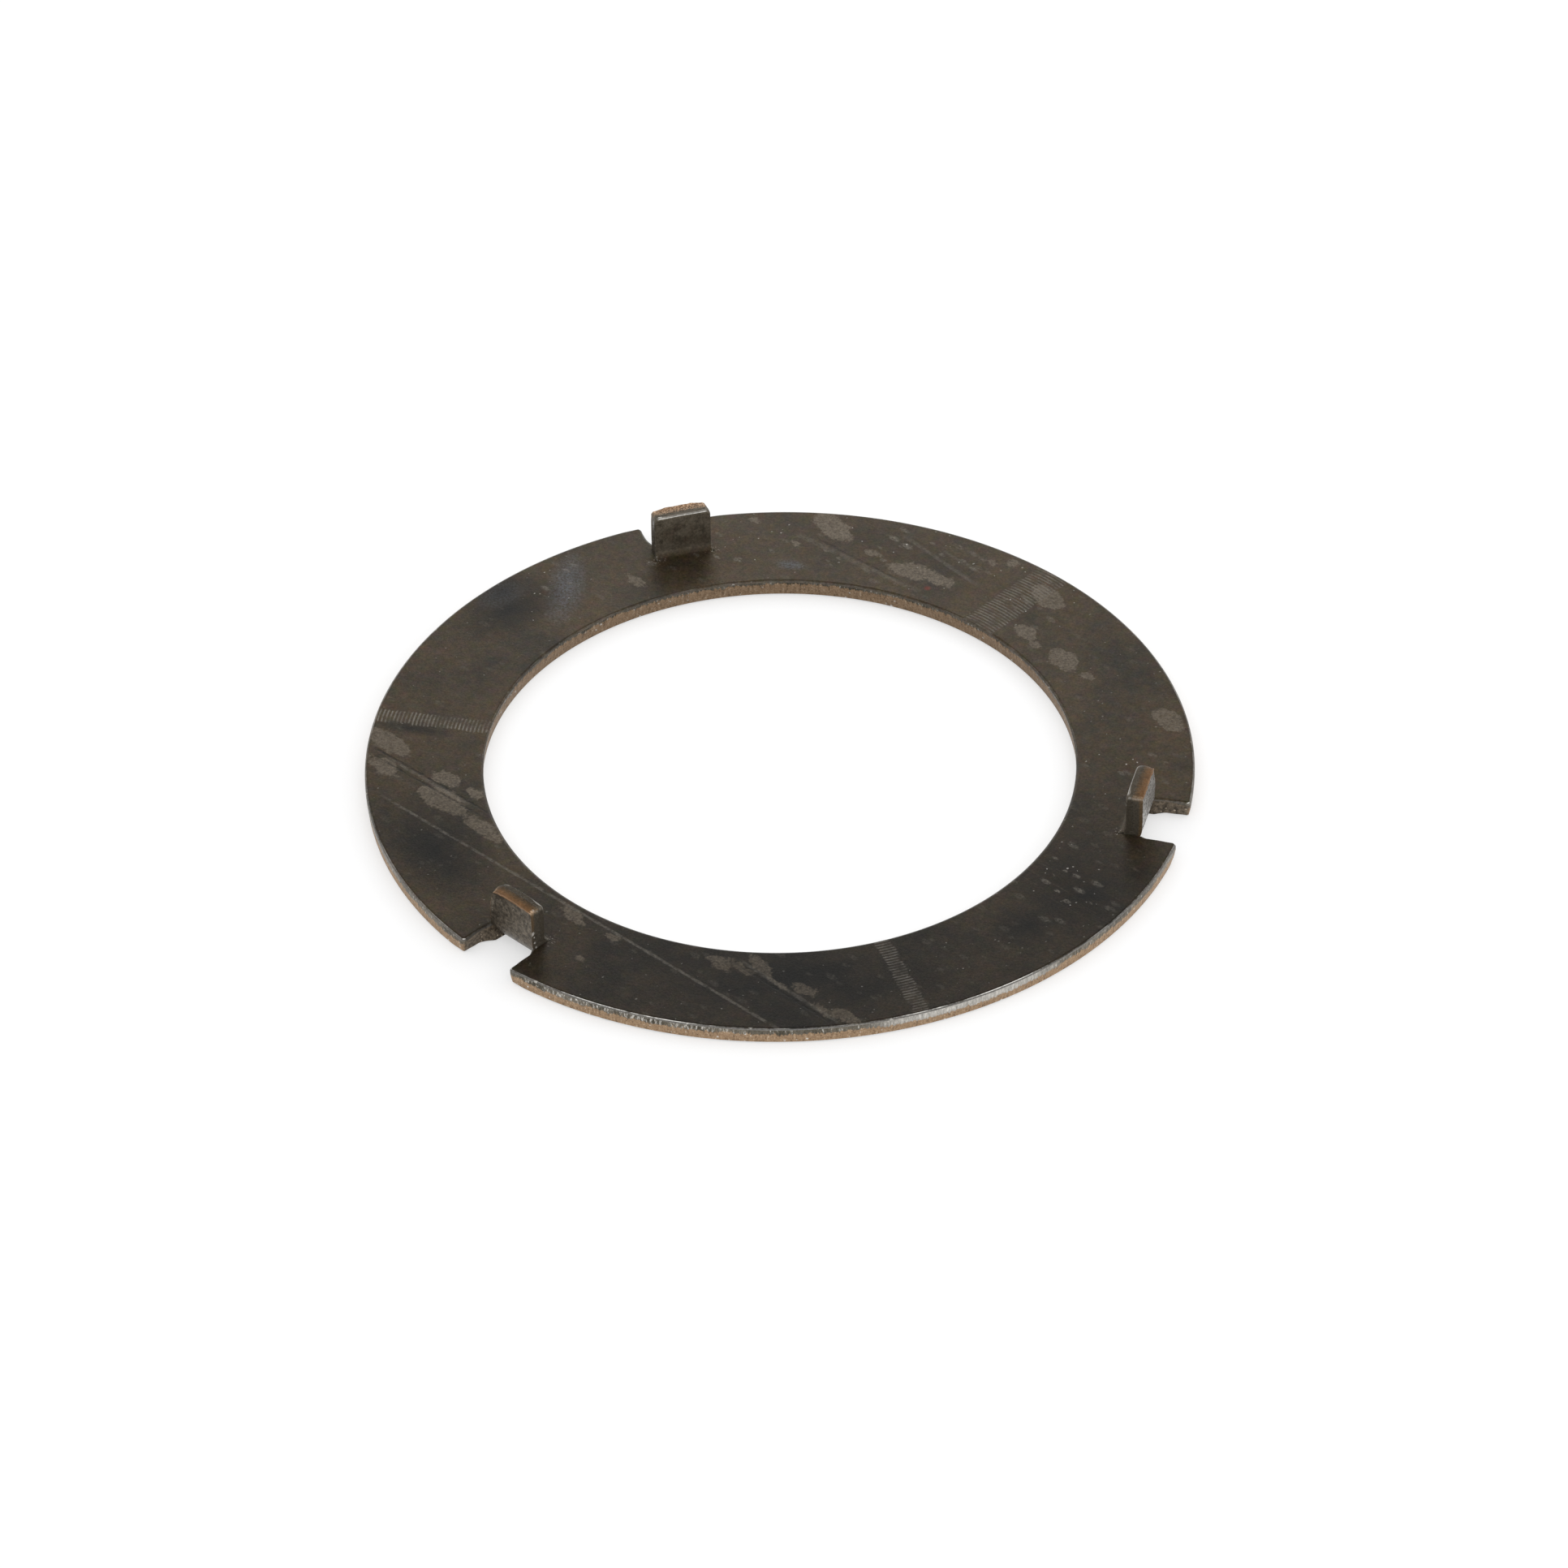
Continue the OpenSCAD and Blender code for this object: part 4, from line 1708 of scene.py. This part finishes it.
@dataclass(frozen=True)
class Washer:
    """The washer: its sheet, its tabs, its wear and its finishes."""

    sheet: Sheet = Sheet()
    tab: Tab = Tab()
    wear: Wear = Wear()
    webs: tuple[TornWeb, ...] = (
        TornWeb(120.0, 1, 2.3, 0.85),
        TornWeb(120.0, -1, 1.4, 0.60),
        TornWeb(240.0, -1, 1.8, 1.20, hollow=1.6, top_share=0.15),
        TornWeb(240.0, 1, 0.8, 0.40),
        TornWeb(0.0, 1, 1.4, 0.70, hollow=1.4, top_share=0.3),
        TornWeb(0.0, -1, 0.6, 0.25),
    )
    worn: tuple[WornCorner, ...] = (WornCorner(0.0, 1), WornCorner(240.0, -1))
    fracture_depth: float = 0.05
    seed: int = 7
    sharp_angle: float = 38.0

    def _draw_corners(self, mesh: Mesh, sector: FlatSector) -> None:
        """Draw the torn webs into the corners of the notches, and round the worn corners of the tips.

        Args:
            mesh: the washer's mesh.
            sector: the flat sector that it was made from.
        """
        places = read_places(mesh)
        moves = [corner.push(places, sector) for corner in (*self.webs, *self.worn)]
        mesh.vertices.foreach_set("co", ((places + np.sum(moves, axis=0)) * MM).ravel())

    def build(self, effects: Effects) -> bpy.types.Object:
        """Build and dress the washer.

        Args:
            effects: the shared node groups.

        Returns:
            The finished piece.
        """
        sector = FlatSector(self.sheet, self.tab)
        mesh = sector.build()
        values: dict[str, object] = {
            "Fold Line": sector.fold_line * MM,
            "Fold Radius": self.tab.fold_r * MM,
            "Fold Length": sector.fold_length * MM,
            "Thickness": self.sheet.thickness * MM,
            "Slit Middle": sector.root[1] * MM,
            "Neutral Layer": self.tab.neutral_layer,
            "Sector Run": max(sector.runs),
            "Fracture Depth": self.fracture_depth * MM,
            "Tab Count": self.tab.count,
            "Seed": self.seed,
            Zone.OXIDE.name.title(): OxideFinish().material(effects),
            Zone.SHEAR.name.title(): ShearFinish().material(effects),
            Zone.BACK.name.title(): BackFinish().material(effects),
        }
        piece = FoldTree().apply(mesh, values, "washer")
        self._draw_corners(piece.data, sector)
        self.wear.store(piece.data, sector)
        piece.data.shade_smooth()
        piece.data.set_sharp_from_angle(angle=math.radians(self.sharp_angle))
        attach(piece, "root")
        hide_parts("thrust_washer")
        LOG.info("washer: %d points, %d faces", len(piece.data.vertices), len(piece.data.polygons))
        return piece


@dataclass(frozen=True)
class Lamp:
    """One soft square lamp that faces the washer, in metres and watts."""

    name: str
    place: Way
    size: float
    power: float

    def build(self) -> bpy.types.Object:
        """Add the lamp.

        Returns:
            The lamp's object.
        """
        data = bpy.data.lights.new(self.name, "AREA")
        data.size = self.size
        data.energy = self.power
        lamp = bpy.data.objects.new(self.name, data)
        lamp.location = self.place
        lamp.rotation_euler = (-lamp.location).to_track_quat("-Z", "Y").to_euler()
        bpy.context.collection.objects.link(lamp)
        return lamp


@dataclass(frozen=True)
class Studio:
    """Pale floor, soft light and the photograph's camera, in metres and degrees."""

    floor_half: float = 1.5
    floor_drop: float = 0.0002
    floor_colour: Colour = (0.96, 0.96, 0.96, 1.0)
    floor_rough: float = 0.9
    floor_specular: float = 0.1
    floor_white: float = 0.5
    world_light: float = 1.0
    seen_white: float = 1.0
    lens: float = 257.02
    sensor: float = 36.0
    azimuth: float = 14.58
    elevation: float = 38.741
    roll: float = -0.742
    distance: float = 1.32293
    shift_right: float = -0.000488
    shift_down: float = -0.000977
    lamps: tuple[Lamp, ...] = (
        Lamp("back panel", (-0.050, 0.194, 0.085), 0.12, 0.06),
        Lamp("front fill", (0.15, -0.48, 0.50), 0.50, 0.6),
        Lamp("right fill", (0.52, 0.05, 0.22), 0.35, 0.5),
    )

    @staticmethod
    def _seen(s: Sketch) -> Socket:
        """Give 1 for what the camera sees, also in reflections and through glass."""
        path = s.node("ShaderNodeLightPath").outputs
        return s.most(path["Is Camera Ray"], path["Is Glossy Ray"], path["Is Transmission Ray"])

    def floor(self) -> bpy.types.Object:
        """Add the floor, which isn't part of the washer.

        Returns:
            The floor's object.
        """
        half = self.floor_half
        corners = [(-half, -half), (half, -half), (half, half), (-half, half)]
        mesh = bpy.data.meshes.new("floor")
        mesh.from_pydata([(x, y, -self.floor_drop) for x, y in corners], [], [(0, 1, 2, 3)])
        material = bpy.data.materials.new("pale floor")
        material.use_nodes = True
        material.node_tree.nodes.clear()
        s = Sketch(material.node_tree)
        inputs = {"Base Color": self.floor_colour, "Roughness": self.floor_rough}
        inputs["Specular IOR Level"] = self.floor_specular
        matte = s.node("ShaderNodeBsdfPrincipled", None, inputs).outputs[0]
        white = s.node("ShaderNodeEmission", None, {"Color": WHITE, "Strength": self.seen_white}).outputs[0]
        share = s.times(self._seen(s), self.floor_white)
        both = s.node("ShaderNodeMixShader", None, {0: share, 1: matte, 2: white}).outputs[0]
        s.node("ShaderNodeOutputMaterial", None, {"Surface": both})
        mesh.materials.append(material)
        floor = bpy.data.objects.new("floor", mesh)
        bpy.context.collection.objects.link(floor)
        return floor

    def light(self) -> None:
        """Light the washer evenly, with a white surround for the camera and for reflections."""
        world = bpy.data.worlds.new("studio")
        world.use_nodes = True
        world.node_tree.nodes.clear()
        s = Sketch(world.node_tree)
        inputs = {0: self._seen(s)}
        for number, strength in enumerate((self.world_light, self.seen_white), 1):
            plain = {"Color": WHITE, "Strength": strength}
            inputs[number] = s.node("ShaderNodeBackground", None, plain).outputs[0]
        both = s.node("ShaderNodeMixShader", None, inputs).outputs[0]
        s.node("ShaderNodeOutputWorld", None, {"Surface": both})
        bpy.context.scene.world = world
        for lamp in self.lamps:
            lamp.build()

    def camera(self) -> bpy.types.Object:
        """Set the camera where the photograph was taken from.

        Returns:
            The camera's object.
        """
        turn = math.radians(self.azimuth)
        tilt = math.radians(self.elevation)
        roll = math.radians(self.roll)
        level = Vector((math.cos(turn), math.sin(turn), 0.0))
        ahead = Vector((-math.sin(turn) * math.cos(tilt), math.cos(turn) * math.cos(tilt), -math.sin(tilt)))
        below = ahead.cross(level)
        right = level * math.cos(roll) - below * math.sin(roll)
        down = level * math.sin(roll) + below * math.cos(roll)
        data = bpy.data.cameras.new("camera")
        data.lens = self.lens
        data.sensor_width = self.sensor
        camera = bpy.data.objects.new("camera", data)
        facing = Matrix((right, -down, -ahead)).transposed().to_4x4()
        place = -(right * self.shift_right + down * self.shift_down + ahead * self.distance)
        camera.matrix_world = Matrix.Translation(place) @ facing
        bpy.context.collection.objects.link(camera)
        bpy.context.scene.camera = camera
        return camera


def main() -> None:
    """Build the washer and its studio in order."""
    logging.basicConfig(level=logging.INFO, format="%(name)s: %(message)s")
    bpy.context.scene.view_settings.view_transform = "Standard"
    effects = Effects()
    Washer().build(effects)
    studio = Studio()
    studio.floor()
    studio.light()
    studio.camera()
    LOG.info("studio: floor, %d lamps and camera", len(studio.lamps))


if __name__ == "__main__":
    main()
